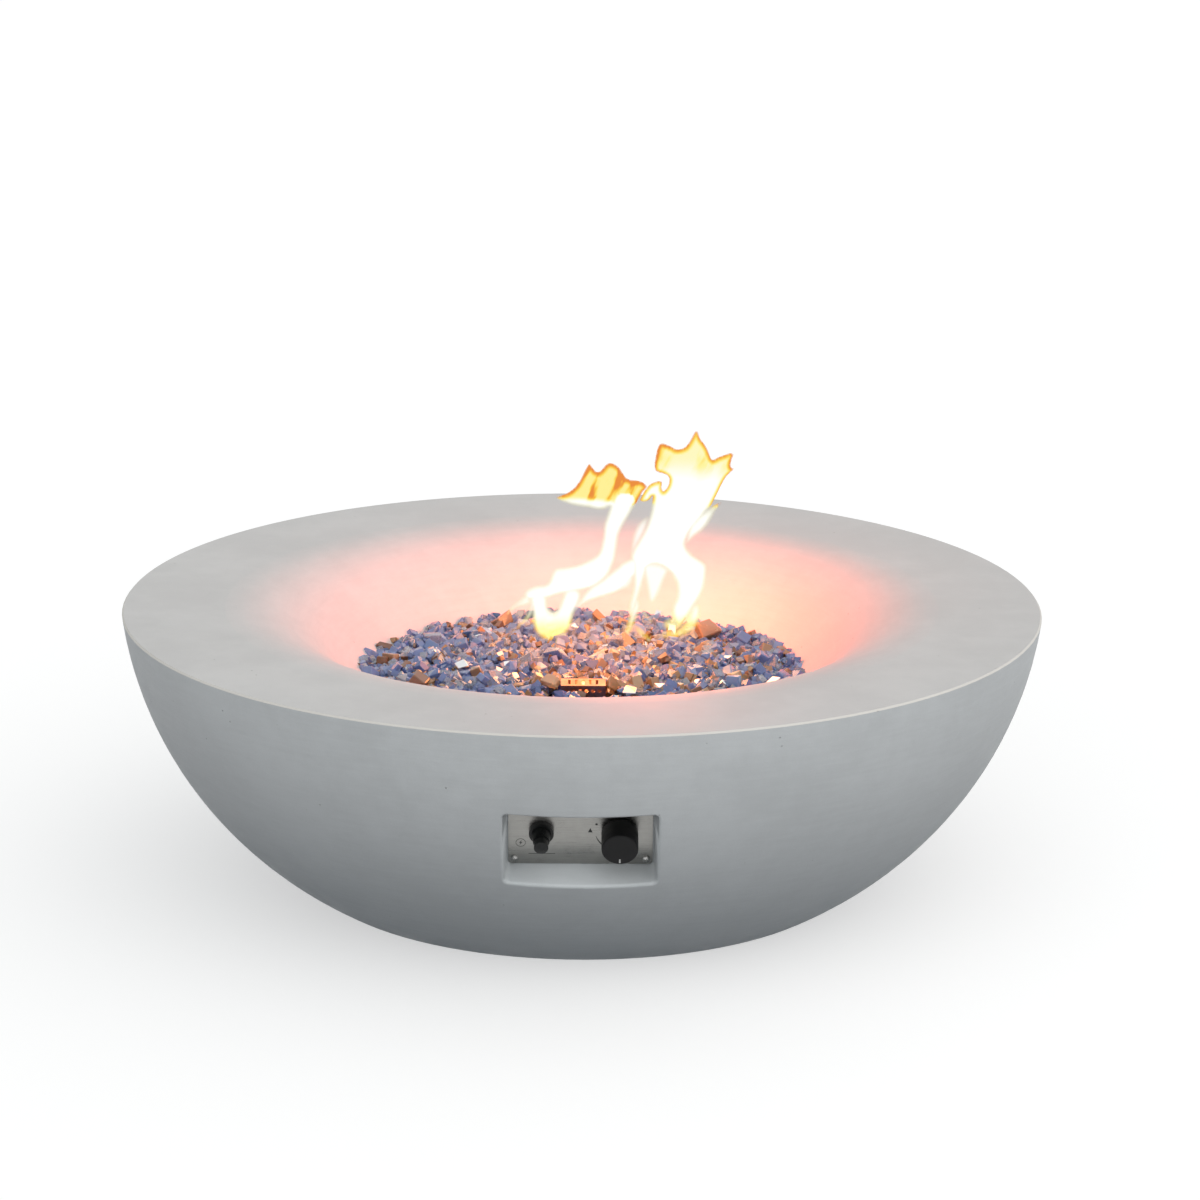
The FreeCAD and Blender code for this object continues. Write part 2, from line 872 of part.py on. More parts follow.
def make_bowl_shell():
    envelope = bowl_envelope()
    shell = cut(envelope, bowl_cavity())
    blocks = overlap(bowl_envelope(), join(pocket_block(), inlet_block()))
    through = "floor_thickness * 2"
    start = "-floor_thickness / 2"
    vents = drills(ring_of(VENTS, "vent_circle"), "vent_radius", through, z=start)
    drain = cylinder("drain_radius", through, z=start)
    controls = [pocket_space(), panel_window(), panel_insert_holes()]
    inlet = [inlet_space(), inlet_hole()]
    solid = cut(join(shell, blocks), *controls, *inlet, vents, drain)
    document.recompute()
    rounded = document.addObject("Part::Fillet", "rounded")
    rounded.Base = solid
    rounded.Edges = [(number, value("pocket_lip"), value("pocket_lip")) for number in lip_edges(solid.Shape)]
    return finish("bowl_shell", rounded)


def make_top_dish():
    under_ledge = f"({LEDGE} - wall)"
    blank = turned(
        [
            ("rim_radius - rim_chamfer", "bowl_height"),
            ("rim_flat_radius", "bowl_height"),
            (SHOULDER_RADIUS, SHOULDER_HEIGHT),
            (slope_radius(LEDGE), LEDGE),
            ("pan_opening", LEDGE),
            ("pan_opening", under_ledge),
            (under_radius(under_ledge), under_ledge),
            (UNDER_RADIUS, UNDER_HEIGHT),
            ("rim_flat_radius", "bowl_height - wall"),
            (flank_radius("bowl_height - wall", "wall"), "bowl_height - wall"),
        ],
        {1: ("dish_round", 1), 7: ("dish_round - wall", -1)},
    )
    length = "wide_insert_length"
    holes = drills(pan_screw_places(), "wide_insert_radius", length, z=f"{LEDGE} - {length}")
    return finish("top_dish", cut(blank, holes))


# ---------------------------------------------------------------------------
# Screws and inserts
# ---------------------------------------------------------------------------


def pan_screw_places():
    return ring_of(QUARTERS, "pan_screw_circle", QUARTER_STEP)


def pilot_screw_places():
    side = "(guard_width / 2 + ear_length / 2)"
    return [(f"pilot_x - {side}", "-pilot_y"), (f"pilot_x + {side}", "-pilot_y")]


def insert(outer, bore, length):
    """A threaded insert whose top is at z = 0."""
    return cut(cylinder(outer, length, z=f"0 - {length}"), cylinder(bore, f"{length} * 2", z=f"0 - {length}"))


def make_inserts():
    wide = ("wide_insert_radius", "wide_screw_radius + screw_gap", "wide_insert_length")
    ledge = [put(insert(*wide), x, y, LEDGE) for x, y in pan_screw_places()]
    finish("pan_inserts", group(*ledge))
    slim = ("slim_insert_radius", "slim_screw_radius + screw_gap", "slim_insert_length")
    back = "0 - panel_thickness"
    panel = [put_on_panel(insert(*slim), x, y, back) for x, y in panel_screw_places()]
    finish("panel_inserts", group(*panel))


def make_screws():
    wide_screw = ("wide_screw_radius", "wide_head_radius", "wide_head_height", "wide_screw_length")
    wide = [put(screw(*wide_screw), x, y, PAN_TOP) for x, y in pan_screw_places()]
    finish("pan_screws", group(*wide))
    slim = [
        put_on_panel(
            screw("slim_screw_radius", "slim_head_radius", "slim_head_height", "slim_screw_length"),
            x,
            y,
            "slim_washer_thickness",
        )
        for x, y in panel_screw_places()
    ]
    finish("panel_screws", group(*slim))
    washers = [
        put_on_panel(
            cut(
                cylinder("slim_washer_radius", "slim_washer_thickness"),
                cylinder("slim_screw_radius + clear_gap", "slim_washer_thickness"),
            ),
            x,
            y,
        )
        for x, y in panel_screw_places()
    ]
    finish("panel_washers", group(*washers))
    fine = [
        put(
            screw("fine_screw_radius", "fine_head_radius", "fine_head_height", "fine_screw_length"),
            x,
            y,
            f"{PAN_FLOOR} + guard_sheet",
        )
        for x, y in pilot_screw_places()
    ]
    finish("pilot_screws", group(*fine))


# ---------------------------------------------------------------------------
# Burner pan, burner and bed
# ---------------------------------------------------------------------------


def probe_places():
    return [("pilot_x - probe_spacing / 2", "-pilot_y"), ("pilot_x + probe_spacing / 2", "-pilot_y")]


def make_burner_pan():
    inner = "(pan_radius - pan_sheet)"
    blank = turned(
        [
            ("0", PAN_UNDERSIDE),
            ("pan_radius", PAN_UNDERSIDE),
            ("pan_radius", LEDGE),
            ("pan_flange", LEDGE),
            ("pan_flange", PAN_TOP),
            (inner, PAN_TOP),
            (inner, PAN_FLOOR),
            ("0", PAN_FLOOR),
        ]
    )
    through = "pan_depth * 2"
    start = f"{PAN_UNDERSIDE} - pan_depth / 2"
    holes = [
        drills([("0", "0")], "pipe_radius + pan_hole_gap", through, z=start),
        drills(pan_screw_places(), "wide_screw_radius + clear_gap", through, z=start),
        drills(ring_of(DRAINS, "pan_drain_circle", HALF_STEP), "pan_drain_radius", through, z=start),
        drills(pilot_screw_places(), "fine_screw_radius + screw_gap", through, z=start),
        drills(probe_places(), "insulator_radius + clear_gap", through, z=start),
    ]
    return finish("burner_pan", cut(blank, *holes))


def spoke(radius, length):
    """Four tubes from the hub to the outer ring, on the diagonals."""
    tubes = []
    for quarter in range(QUARTERS):
        tube = cylinder(radius, length, axis=(0, 1, 0), angle="90")
        turn = group(tube)
        tubes.append(put(turn, z=RING_Z, angle=f"45 + {FULL_TURN / QUARTERS * quarter}"))
    return tubes


def make_ring_burner():
    hub = cylinder("hub_radius", "hub_height", z=PAN_FLOOR)
    rings = [torus("outer_ring", "ring_tube", RING_Z), torus("inner_ring", "ring_tube", RING_Z)]
    outside = join(*rings, hub, *spoke("ring_tube", "outer_ring"))
    socket = cylinder("pipe_radius + pipe_gap", "hub_socket", z=PAN_FLOOR)
    heart = cylinder("ring_bore", "ring_level", z=PAN_FLOOR)
    inside = [
        torus("outer_ring", "ring_bore", RING_Z),
        torus("inner_ring", "ring_bore", RING_Z),
        *spoke("ring_bore", "outer_ring"),
    ]
    ports = [
        drills(ring_of(PORTS_OUTER, "outer_ring", HALF_STEP), "port_radius", "ring_tube * 2", z=RING_Z),
        drills(ring_of(PORTS_INNER, "inner_ring", HALF_STEP), "port_radius", "ring_tube * 2", z=RING_Z),
    ]
    return finish("ring_burner", cut(outside, *inside, socket, heart, *ports))


def make_burner_feet():
    feet = []
    for quarter in range(QUARTERS):
        block = box("foot_width", "foot_length", "foot_height", x="outer_ring")
        feet.append(put(group(block), z=PAN_FLOOR, angle=f"{FULL_TURN / QUARTERS * quarter}"))
    groove = torus("outer_ring", "ring_tube + screw_gap", RING_Z)
    return finish("burner_feet", cut(group(*feet), groove))


def bed_obstacles():
    """What the rock and the glass lie around, a little larger than it is."""
    tube = "ring_tube + bed_gap"
    tall = f"{GLASS_TOP} - {PAN_FLOOR} + guard_height"
    width = "guard_width + 2 * bed_gap"
    depth = "guard_depth + 2 * bed_gap"
    guard = box(width, depth, tall, x="pilot_x", y="-pilot_y", z=PAN_FLOOR)
    ears = box(
        "guard_width + 2 * (ear_length + bed_gap)",
        "ear_width + 2 * bed_gap",
        "guard_sheet + fine_head_height + bed_gap",
        x="pilot_x",
        y="-pilot_y",
        z=PAN_FLOOR,
    )
    foot = ("foot_width + 2 * bed_gap", "foot_length + 2 * bed_gap", "foot_height + bed_gap")
    feet = []
    for quarter in range(QUARTERS):
        block = box(*foot, x="outer_ring")
        feet.append(put(group(block), z=PAN_FLOOR, angle=f"{FULL_TURN / QUARTERS * quarter}"))
    heads = drills(pan_screw_places(), "wide_head_radius + bed_gap", "wide_head_height + bed_gap", z=PAN_TOP)
    hub = cylinder("hub_radius + bed_gap", "hub_height + bed_gap", z=PAN_FLOOR)
    rings = [torus("outer_ring", tube, RING_Z), torus("inner_ring", tube, RING_Z)]
    return join(*rings, hub, guard, ears, heads, *feet, *spoke(tube, "outer_ring"))


def glass_heaps():
    """Low heaps in the top of the glass, spread evenly like the seeds of a sunflower."""
    foot = "heap_foot + (heap_foot - heap_crown) * heap_sink / heap_height"
    heaps = []
    for number in range(HEAPS):
        heap = document.addObject("Part::Cone", "heap")
        bind(heap, "Radius1", foot)
        bind(heap, "Radius2", "heap_crown")
        bind(heap, "Height", "heap_height + heap_sink")
        out = f"heap_pitch * sqrt({number + HALF_STEP})"
        turn = f"{GOLDEN_TURN * number} * 1 deg"
        heaps.append(put(heap, f"{out} * cos({turn})", f"{out} * sin({turn})", f"{GLASS_TOP} - heap_sink"))
    return heaps


def make_bed():
    inner = "(pan_radius - pan_sheet - bed_gap)"
    obstacles = bed_obstacles()
    lava = turned([("0", PAN_FLOOR), (inner, PAN_FLOOR), (inner, LAVA_TOP), ("0", LAVA_TOP)])
    finish("lava_rock_layer", cut(lava, obstacles))
    aside = f"bed_gap / sin({SLOPE})"
    glass = turned(
        [
            ("0", LAVA_TOP),
            (inner, LAVA_TOP),
            (inner, PAN_TOP),
            ("pan_flange + bed_gap", PAN_TOP),
            ("pan_flange + bed_gap", LEDGE),
            (f"{slope_radius(LEDGE)} - {aside}", LEDGE),
            (f"{slope_radius(GLASS_TOP)} - {aside}", GLASS_TOP),
            ("0", GLASS_TOP),
        ]
    )
    finish("fire_glass_bed", cut(join(glass, *glass_heaps()), obstacles))


# ---------------------------------------------------------------------------
# Pilot parts
# ---------------------------------------------------------------------------


def make_pilot_guard():
    inside = "(guard_width - 2 * guard_sheet)"
    inside_depth = "(guard_depth - 2 * guard_sheet)"
    shell = box("guard_width", "guard_depth", "guard_height")
    ears = box("guard_width + 2 * ear_length", "ear_width", "guard_sheet")
    hollow = box(inside, inside_depth, "guard_height - guard_sheet")
    screw_holes = drills(
        [("0 - guard_width / 2 - ear_length / 2", "0"), ("guard_width / 2 + ear_length / 2", "0")],
        "fine_screw_radius + screw_gap",
        "guard_sheet",
    )
    slot = ("guard_slot_width", "guard_slot_length", "guard_sheet * 2")
    under_top = "guard_height - guard_sheet - guard_sheet / 2"
    slots = [box(*slot, x=x, z=under_top) for x in row_of(GUARD_SLOTS, "guard_slot_pitch")]
    hole_row = [(x, "guard_height - guard_hole_drop") for x in row_of(GUARD_HOLES, "guard_hole_pitch")]
    holes = drills(hole_row, "guard_hole_radius", "guard_depth * 2")
    through = put(group(holes), y="guard_depth", axis=(1, 0, 0), angle="90")
    guard = cut(join(shell, ears), hollow, screw_holes, through, *slots)
    return finish("pilot_guard", put(guard, "pilot_x", "-pilot_y", PAN_FLOOR))


def make_pilot_bracket():
    places = [("0 - probe_spacing / 2", "0"), ("probe_spacing / 2", "0")]
    holes = drills(places, "insulator_radius + probe_gap", "bracket_thickness")
    plate = box("bracket_length", "bracket_width", "bracket_thickness")
    upright = box(
        "bracket_length / 2",
        "bracket_thickness",
        "insulator_end - bracket_thickness",
        y="bracket_width / 2 - bracket_thickness / 2",
        z="bracket_thickness",
    )
    bracket = cut(join(plate, upright), holes)
    return finish("pilot_bracket", put(bracket, "pilot_x", "-pilot_y", PAN_FLOOR))


def make_probes():
    electrode_x, electrode_y = probe_places()[0]
    thermo_x, thermo_y = probe_places()[1]
    seat = "bracket_thickness"
    sleeve = turned(
        [
            ("electrode_radius + screw_gap / 2", "-insulator_start"),
            ("insulator_radius", "-insulator_start"),
            ("insulator_radius", seat),
            ("probe_collar_radius", seat),
            ("probe_collar_radius", f"{seat} + probe_collar_height"),
            ("insulator_radius", f"{seat} + probe_collar_height"),
            ("insulator_radius", "insulator_end"),
            ("electrode_radius + screw_gap / 2", "insulator_end"),
        ]
    )
    finish("electrode_insulator", put(sleeve, electrode_x, electrode_y, PAN_FLOOR))
    rod = cylinder("electrode_radius", "electrode_start + electrode_end", z="0 - electrode_start")
    finish("spark_electrode", put(group(rod), electrode_x, electrode_y, PAN_FLOOR))
    probe = turned(
        [
            ("0", "-thermo_start"),
            ("thermo_radius", "-thermo_start"),
            ("thermo_radius", seat),
            ("probe_collar_radius", seat),
            ("probe_collar_radius", f"{seat} + probe_collar_height"),
            ("thermo_radius", f"{seat} + probe_collar_height"),
            ("thermo_radius", "thermo_end - thermo_radius"),
            ("0", "thermo_end"),
        ],
        {6: ("thermo_radius", 1)},
    )
    finish("thermocouple_probe", put(probe, thermo_x, thermo_y, PAN_FLOOR))


# ---------------------------------------------------------------------------
# Feed pipe, mixer and orifice
# ---------------------------------------------------------------------------


def make_feed_pipe():
    bottom = f"({ELBOW_Z} + elbow_rise - socket_depth)"
    top = f"({PAN_FLOOR} + hub_socket)"
    nipple = cut(
        cylinder("pipe_radius", f"{top} - {bottom}", z=bottom),
        cylinder("pipe_bore", f"{top} - {bottom}", z=bottom),
    )
    finish("burner_nipple", nipple)
    washer_low = f"({PAN_UNDERSIDE} - feed_washer_thickness)"
    hole = cylinder("pipe_radius + pipe_gap", "pan_depth", z=f"{PAN_UNDERSIDE} - pan_depth")
    finish("nipple_washer", cut(cylinder("feed_washer_radius", "feed_washer_thickness", z=washer_low), hole))
    nut = cut(hexagon("feed_nut_flats", "feed_nut_height", z=f"{washer_low} - feed_nut_height"), hole)
    finish("nipple_locknut", nut)


def make_elbow():
    outside = join(
        sphere("elbow_radius"),
        cylinder("elbow_radius", "elbow_rise"),
        cylinder("elbow_radius", "elbow_arm", axis=(0, 1, 0), angle="90"),
    )
    socket = ("pipe_radius + pipe_gap", "socket_depth")
    inside = [
        cylinder("pipe_bore", "elbow_rise"),
        cylinder("pipe_bore", "elbow_arm", axis=(0, 1, 0), angle="90"),
        sphere("pipe_bore"),
        cylinder(*socket, z="elbow_rise - socket_depth"),
        cylinder(*socket, x="elbow_arm - socket_depth", axis=(0, 1, 0), angle="90"),
    ]
    return finish("burner_elbow", put(cut(outside, *inside), z=ELBOW_Z))


def windows():
    """Two opposite air windows, through a tube about its own Z."""
    return box("window_width", "mixer_collar_radius * 4", "window_end - window_start", z="window_start")


def make_mixer():
    blank = turned(
        [
            ("pipe_bore", "elbow_arm - socket_depth"),
            ("pipe_radius", "elbow_arm - socket_depth"),
            ("pipe_radius", "elbow_arm"),
            ("mixer_collar_radius", "elbow_arm"),
            ("mixer_collar_radius", "mixer_collar_end"),
            ("mixer_radius", "mixer_collar_end"),
            ("mixer_radius", "mixer_shoulder_start"),
            ("mixer_collar_radius", "mixer_shoulder_start"),
            ("mixer_collar_radius", "mixer_shoulder_end"),
            ("mixer_radius", "mixer_shoulder_end"),
            ("mixer_radius", "mixer_end"),
            ("orifice_radius", "mixer_end"),
            ("orifice_radius", "mixer_end - mixer_wall"),
            ("mixer_bore", "mixer_end - mixer_wall"),
            ("mixer_bore", "mixer_collar_end"),
            ("pipe_bore", "elbow_arm"),
        ]
    )
    finish("air_mixer", put_sideways(cut(blank, windows()), z=ELBOW_Z))
    sleeve = turned(
        [
            ("mixer_radius + shutter_gap", "shutter_start"),
            ("shutter_radius", "shutter_start"),
            ("shutter_radius", "mixer_end - shutter_end_gap"),
            ("mixer_radius + shutter_gap", "mixer_end - shutter_end_gap"),
        ]
    )
    finish("air_shutter", put_sideways(cut(sleeve, windows()), z=ELBOW_Z))
    washer = cut(
        cylinder("shutter_washer_radius", "shutter_washer_thickness", z="mixer_end"),
        cylinder("orifice_radius", "shutter_washer_thickness", z="mixer_end"),
    )
    finish("shutter_washer", put_sideways(washer, z=ELBOW_Z))


ORIFICE_SEAT = "(mixer_end + shutter_washer_thickness)"
ORIFICE_FLARE = f"({ORIFICE_SEAT} + orifice_hex)"


def flare_end(bore_start="0"):
    """A male flare end that stands on z = 0 about its own Z."""
    return turned(
        [
            ("flare_bore", bore_start),
            ("flare_radius", bore_start),
            ("flare_radius", "flare_length - flare_cone"),
            ("flare_nose", "flare_length"),
            ("flare_bore", "flare_length"),
        ]
    )


def make_orifice():
    spud = turned(
        [
            ("jet_radius", "mixer_end - mixer_wall"),
            ("orifice_radius - orifice_gap", "mixer_end - mixer_wall"),
            ("orifice_radius - orifice_gap", ORIFICE_SEAT),
            ("orifice_bore", ORIFICE_SEAT),
            ("orifice_bore", "mixer_end - mixer_wall + jet_length"),
            ("jet_radius", "mixer_end - mixer_wall + jet_length"),
        ]
    )
    collar = cut(
        hexagon("orifice_flats", "orifice_hex", z=ORIFICE_SEAT),
        cylinder("orifice_bore", "orifice_hex", z=ORIFICE_SEAT),
    )
    flare = put(flare_end(), z=ORIFICE_FLARE)
    return finish("gas_orifice", put_sideways(join(spud, collar, flare), z=ELBOW_Z))


def hose_nut():
    """A flare nut on its own Z, for a flare end that stands on z = 0."""
    blank = hexagon("hose_nut_flats", "hose_nut_length", z="hose_nut_gap")
    thread = cylinder("hose_nut_bore", "hose_nut_floor - hose_nut_gap", z="hose_nut_gap")
    return cut(blank, thread, cylinder("hose_nut_hole", "hose_nut_length * 2"))


def hose_ferrule():
    """The crimped end of a hose, against the nose of the flare end."""
    start = "(flare_length + screw_gap)"
    collar = cylinder("ferrule_collar", "ferrule_collar_length", z=start)
    return join(collar, cylinder("ferrule_radius", f"ferrule_end - {start}", z=start))


def flare_joints():
    """Placing functions of the four flare joints: orifice, valve outlet, valve inlet, gas inlet."""
    outlet = panel_point(KNOB_X, "0 - valve_half", "0 - outlet_port_level")
    inlet = panel_point(f"{KNOB_X} + valve_half", "0", "0 - inlet_port_level")
    return [
        lambda thing: put(thing, ORIFICE_FLARE, "0", ELBOW_Z, (0, 1, 0), "90"),
        lambda thing: put(thing, *outlet, (1, 0, 0), "180 + panel_lean"),
        lambda thing: put(thing, *inlet, (0, 1, 0), "90"),
        lambda thing: put(thing, "0", INLET_FLARE, "inlet_height", (1, 0, 0), "90"),
    ]


INLET_FLARE = f"({INLET_SEAT} - inlet_wall - inlet_inner_end)"


def make_hose_ends():
    finish("hose_nuts", group(*[place(hose_nut()) for place in flare_joints()]))
    finish("hose_ferrules", group(*[place(hose_ferrule()) for place in flare_joints()]))


def make_gas_inlet():
    seat = f"({INLET_SEAT} + inlet_washer_thickness)"
    inner = f"({seat} - {INLET_FLARE})"
    start = f"0 - {inner}"
    stem = cut(cylinder("inlet_radius", inner, z=start), cylinder("flare_bore", inner, z=start))
    collar = cut(hexagon("inlet_flats", "inlet_hex"), cylinder("flare_bore", "inlet_hex"))
    outer_flare = put(flare_end(), z="inlet_hex")
    inner_flare = put(flare_end(), z=start, axis=(1, 0, 0), angle="180")
    fitting = join(stem, collar, outer_flare, inner_flare)
    finish("gas_inlet_fitting", put(fitting, y=seat, z="inlet_height", axis=(1, 0, 0), angle="-90"))
    washer = cut(
        cylinder("inlet_washer_radius", "inlet_washer_thickness"),
        cylinder("inlet_radius + pipe_gap", "inlet_washer_thickness"),
    )
    finish("inlet_washer", put(washer, y=INLET_SEAT, z="inlet_height", axis=(1, 0, 0), angle="-90"))
    bore = cylinder("inlet_radius + pipe_gap", "inlet_nut_height")
    nut = cut(hexagon("inlet_nut_flats", "inlet_nut_height"), bore)
    back = f"{INLET_SEAT} - inlet_wall"
    finish("inlet_locknut", put(nut, y=back, z="inlet_height", axis=(1, 0, 0), angle="90"))


# ---------------------------------------------------------------------------
# Control panel and valve
# ---------------------------------------------------------------------------


def make_control_panel():
    corners, arcs = rounded_rectangle("panel_width", "panel_tall", POCKET_MIDDLE, "panel_corner")
    plate = padded(corners, "panel_thickness", arcs)
    holes = [
        drills(panel_screw_places(), "slim_screw_radius + clear_gap", "panel_thickness"),
        drills([(KNOB_X, "0")], "valve_boss_radius + valve_hole_gap", "panel_thickness"),
        drills([(IGNITER_X, "0")], "igniter_radius + igniter_hole_gap", "panel_thickness"),
    ]
    return finish("control_panel", put_on_panel(cut(plate, *holes), z="-panel_thickness"))


def make_valve_body():
    block = box("2 * valve_half", "2 * valve_half", "valve_end - panel_thickness", z="0 - valve_end")
    boss = cylinder("valve_boss_radius", "valve_boss_length + panel_thickness", z="0 - panel_thickness")
    inlet_flare = put(flare_end(), x="valve_half", z="0 - inlet_port_level", axis=(0, 1, 0), angle="90")
    outlet_flare = put(flare_end(), y="0 - valve_half", z="0 - outlet_port_level", axis=(1, 0, 0), angle="90")
    bores = [
        cylinder("valve_chamber", "chamber_end - chamber_front", z="0 - chamber_end"),
        cylinder("spindle_radius + spindle_gap", "chamber_front + valve_boss_length", z="0 - chamber_front"),
        cylinder("valve_seat_radius", "valve_seat_end - chamber_end", z="0 - valve_seat_end"),
        cylinder("valve_chamber", "valve_end - valve_seat_end", z="0 - valve_end"),
        cylinder("valve_port", "valve_half", z="0 - inlet_port_level", axis=(0, 1, 0), angle="90"),
        cylinder("valve_port", "valve_half", z="0 - outlet_port_level", axis=(1, 0, 0), angle="90"),
    ]
    body = cut(join(block, boss, inlet_flare, outlet_flare), *bores)
    finish("valve_body", put_on_panel(body, KNOB_X))
    bore = cylinder("valve_boss_radius + pipe_gap", "valve_nut_height")
    nut = cut(hexagon("valve_nut_flats", "valve_nut_height"), bore)
    finish("valve_nut", put_on_panel(nut, KNOB_X))


def make_valve_insides():
    outer = "(valve_chamber - plug_gap)"
    slot = ("2 * valve_chamber", "tongue_thickness + 2 * plug_slot_gap", "plug_slot_end - plug_top")
    plug = cut(
        cylinder(outer, "plug_end - plug_top", z="0 - plug_end"),
        box(*slot, z="0 - plug_slot_end"),
        cylinder("plug_hole", "plug_end", z="0 - plug_end"),
        cylinder("plug_port", "valve_chamber", z="0 - outlet_port_level", axis=(1, 0, 0), angle="90"),
    )
    finish("valve_plug", put_on_panel(plug, KNOB_X))
    coil = spring(
        "valve_spring_radius",
        "spring_wire",
        "valve_spring_turns",
        "plug_top - spindle_collar_end - 2 * spring_gap",
        "0 - plug_top + spring_gap",
    )
    finish("valve_spring", put_on_panel(coil, KNOB_X))
    rod = cylinder("rod_radius", "rod_end - tongue_end - rod_gap", z="0 - rod_end")
    finish("valve_push_rod", put_on_panel(group(rod), KNOB_X))
    magnet = turned(
        [
            ("0", "0 - magnet_nut_end"),
            ("magnet_nut_radius", "0 - magnet_nut_end"),
            ("magnet_nut_radius", "0 - magnet_cap_end"),
            ("magnet_cap_radius", "0 - magnet_cap_end"),
            ("magnet_cap_radius", "0 - magnet_flange_end"),
            ("magnet_flange_radius", "0 - magnet_flange_end"),
            ("magnet_flange_radius", "0 - valve_end"),
            ("valve_chamber - magnet_gap", "0 - valve_end"),
            ("valve_chamber - magnet_gap", "0 - magnet_front"),
            ("0", "0 - magnet_front"),
        ]
    )
    finish("safety_magnet", put_on_panel(magnet, KNOB_X))


def make_spindle():
    collar_top = "(chamber_front + spindle_collar_gap)"
    shaft = turned(
        [
            ("0", "0 - spindle_collar_end"),
            ("spindle_collar_radius", "0 - spindle_collar_end"),
            ("spindle_collar_radius", f"0 - {collar_top}"),
            ("spindle_radius", f"0 - {collar_top}"),
            ("spindle_radius", "spindle_end"),
            ("0", "spindle_end"),
        ]
    )
    tongue = box("tongue_width", "tongue_thickness", "tongue_end - spindle_collar_end", z="0 - tongue_end")
    flat = box(
        "2 * spindle_radius",
        "spindle_radius",
        "spindle_end - spindle_flat_start",
        y="0 - spindle_flat - spindle_radius / 2",
        z="spindle_flat_start",
    )
    return finish("valve_spindle", put_on_panel(cut(join(shaft, tongue), flat), KNOB_X))


def make_knob():
    inner = "(spindle_radius + knob_bore_gap)"
    blank = turned(
        [
            (inner, "knob_recess_end"),
            ("knob_recess_radius", "knob_recess_end"),
            ("knob_recess_radius", "knob_back"),
            ("knob_radius", "knob_back"),
            ("knob_radius", "knob_face - knob_round"),
            ("knob_radius - knob_round", "knob_face"),
            ("0", "knob_face"),
            ("0", "knob_bore_end"),
            (inner, "knob_bore_end"),
        ],
        {4: ("knob_round", 1)},
    )
    key = box(
        f"2 * {inner}",
        "spindle_radius - spindle_flat",
        "knob_bore_end - spindle_flat_start",
        y="0 - spindle_flat - knob_bore_gap - (spindle_radius - spindle_flat) / 2",
        z="spindle_flat_start",
    )
    grub_hole = cylinder("grub_radius + pipe_gap", "knob_radius", z="grub_level", axis=(1, 0, 0), angle="90")
    slot = box(
        "pointer_width",
        "pointer_length",
        "pointer_depth * 2",
        y="0 - pointer_start + pointer_length / 2",
        z="knob_face - pointer_depth",
    )
    knob = cut(join(blank, key), grub_hole, slot)
    finish("control_knob", put_on_panel(knob, KNOB_X))
    pointer = box(
        "pointer_width",
        "pointer_length",
        "pointer_depth + pointer_proud",
        y="0 - pointer_start + pointer_length / 2",
        z="knob_face - pointer_depth",
    )
    finish("knob_pointer", put_on_panel(group(pointer), KNOB_X))
    grub = cylinder(
        "grub_radius",
        "grub_length",
        y="0 - spindle_flat - rod_gap",
        z="grub_level",
        axis=(1, 0, 0),
        angle="90",
    )
    finish("knob_grub_screw", put_on_panel(group(grub), KNOB_X))


# ---------------------------------------------------------------------------
# Igniter
# ---------------------------------------------------------------------------


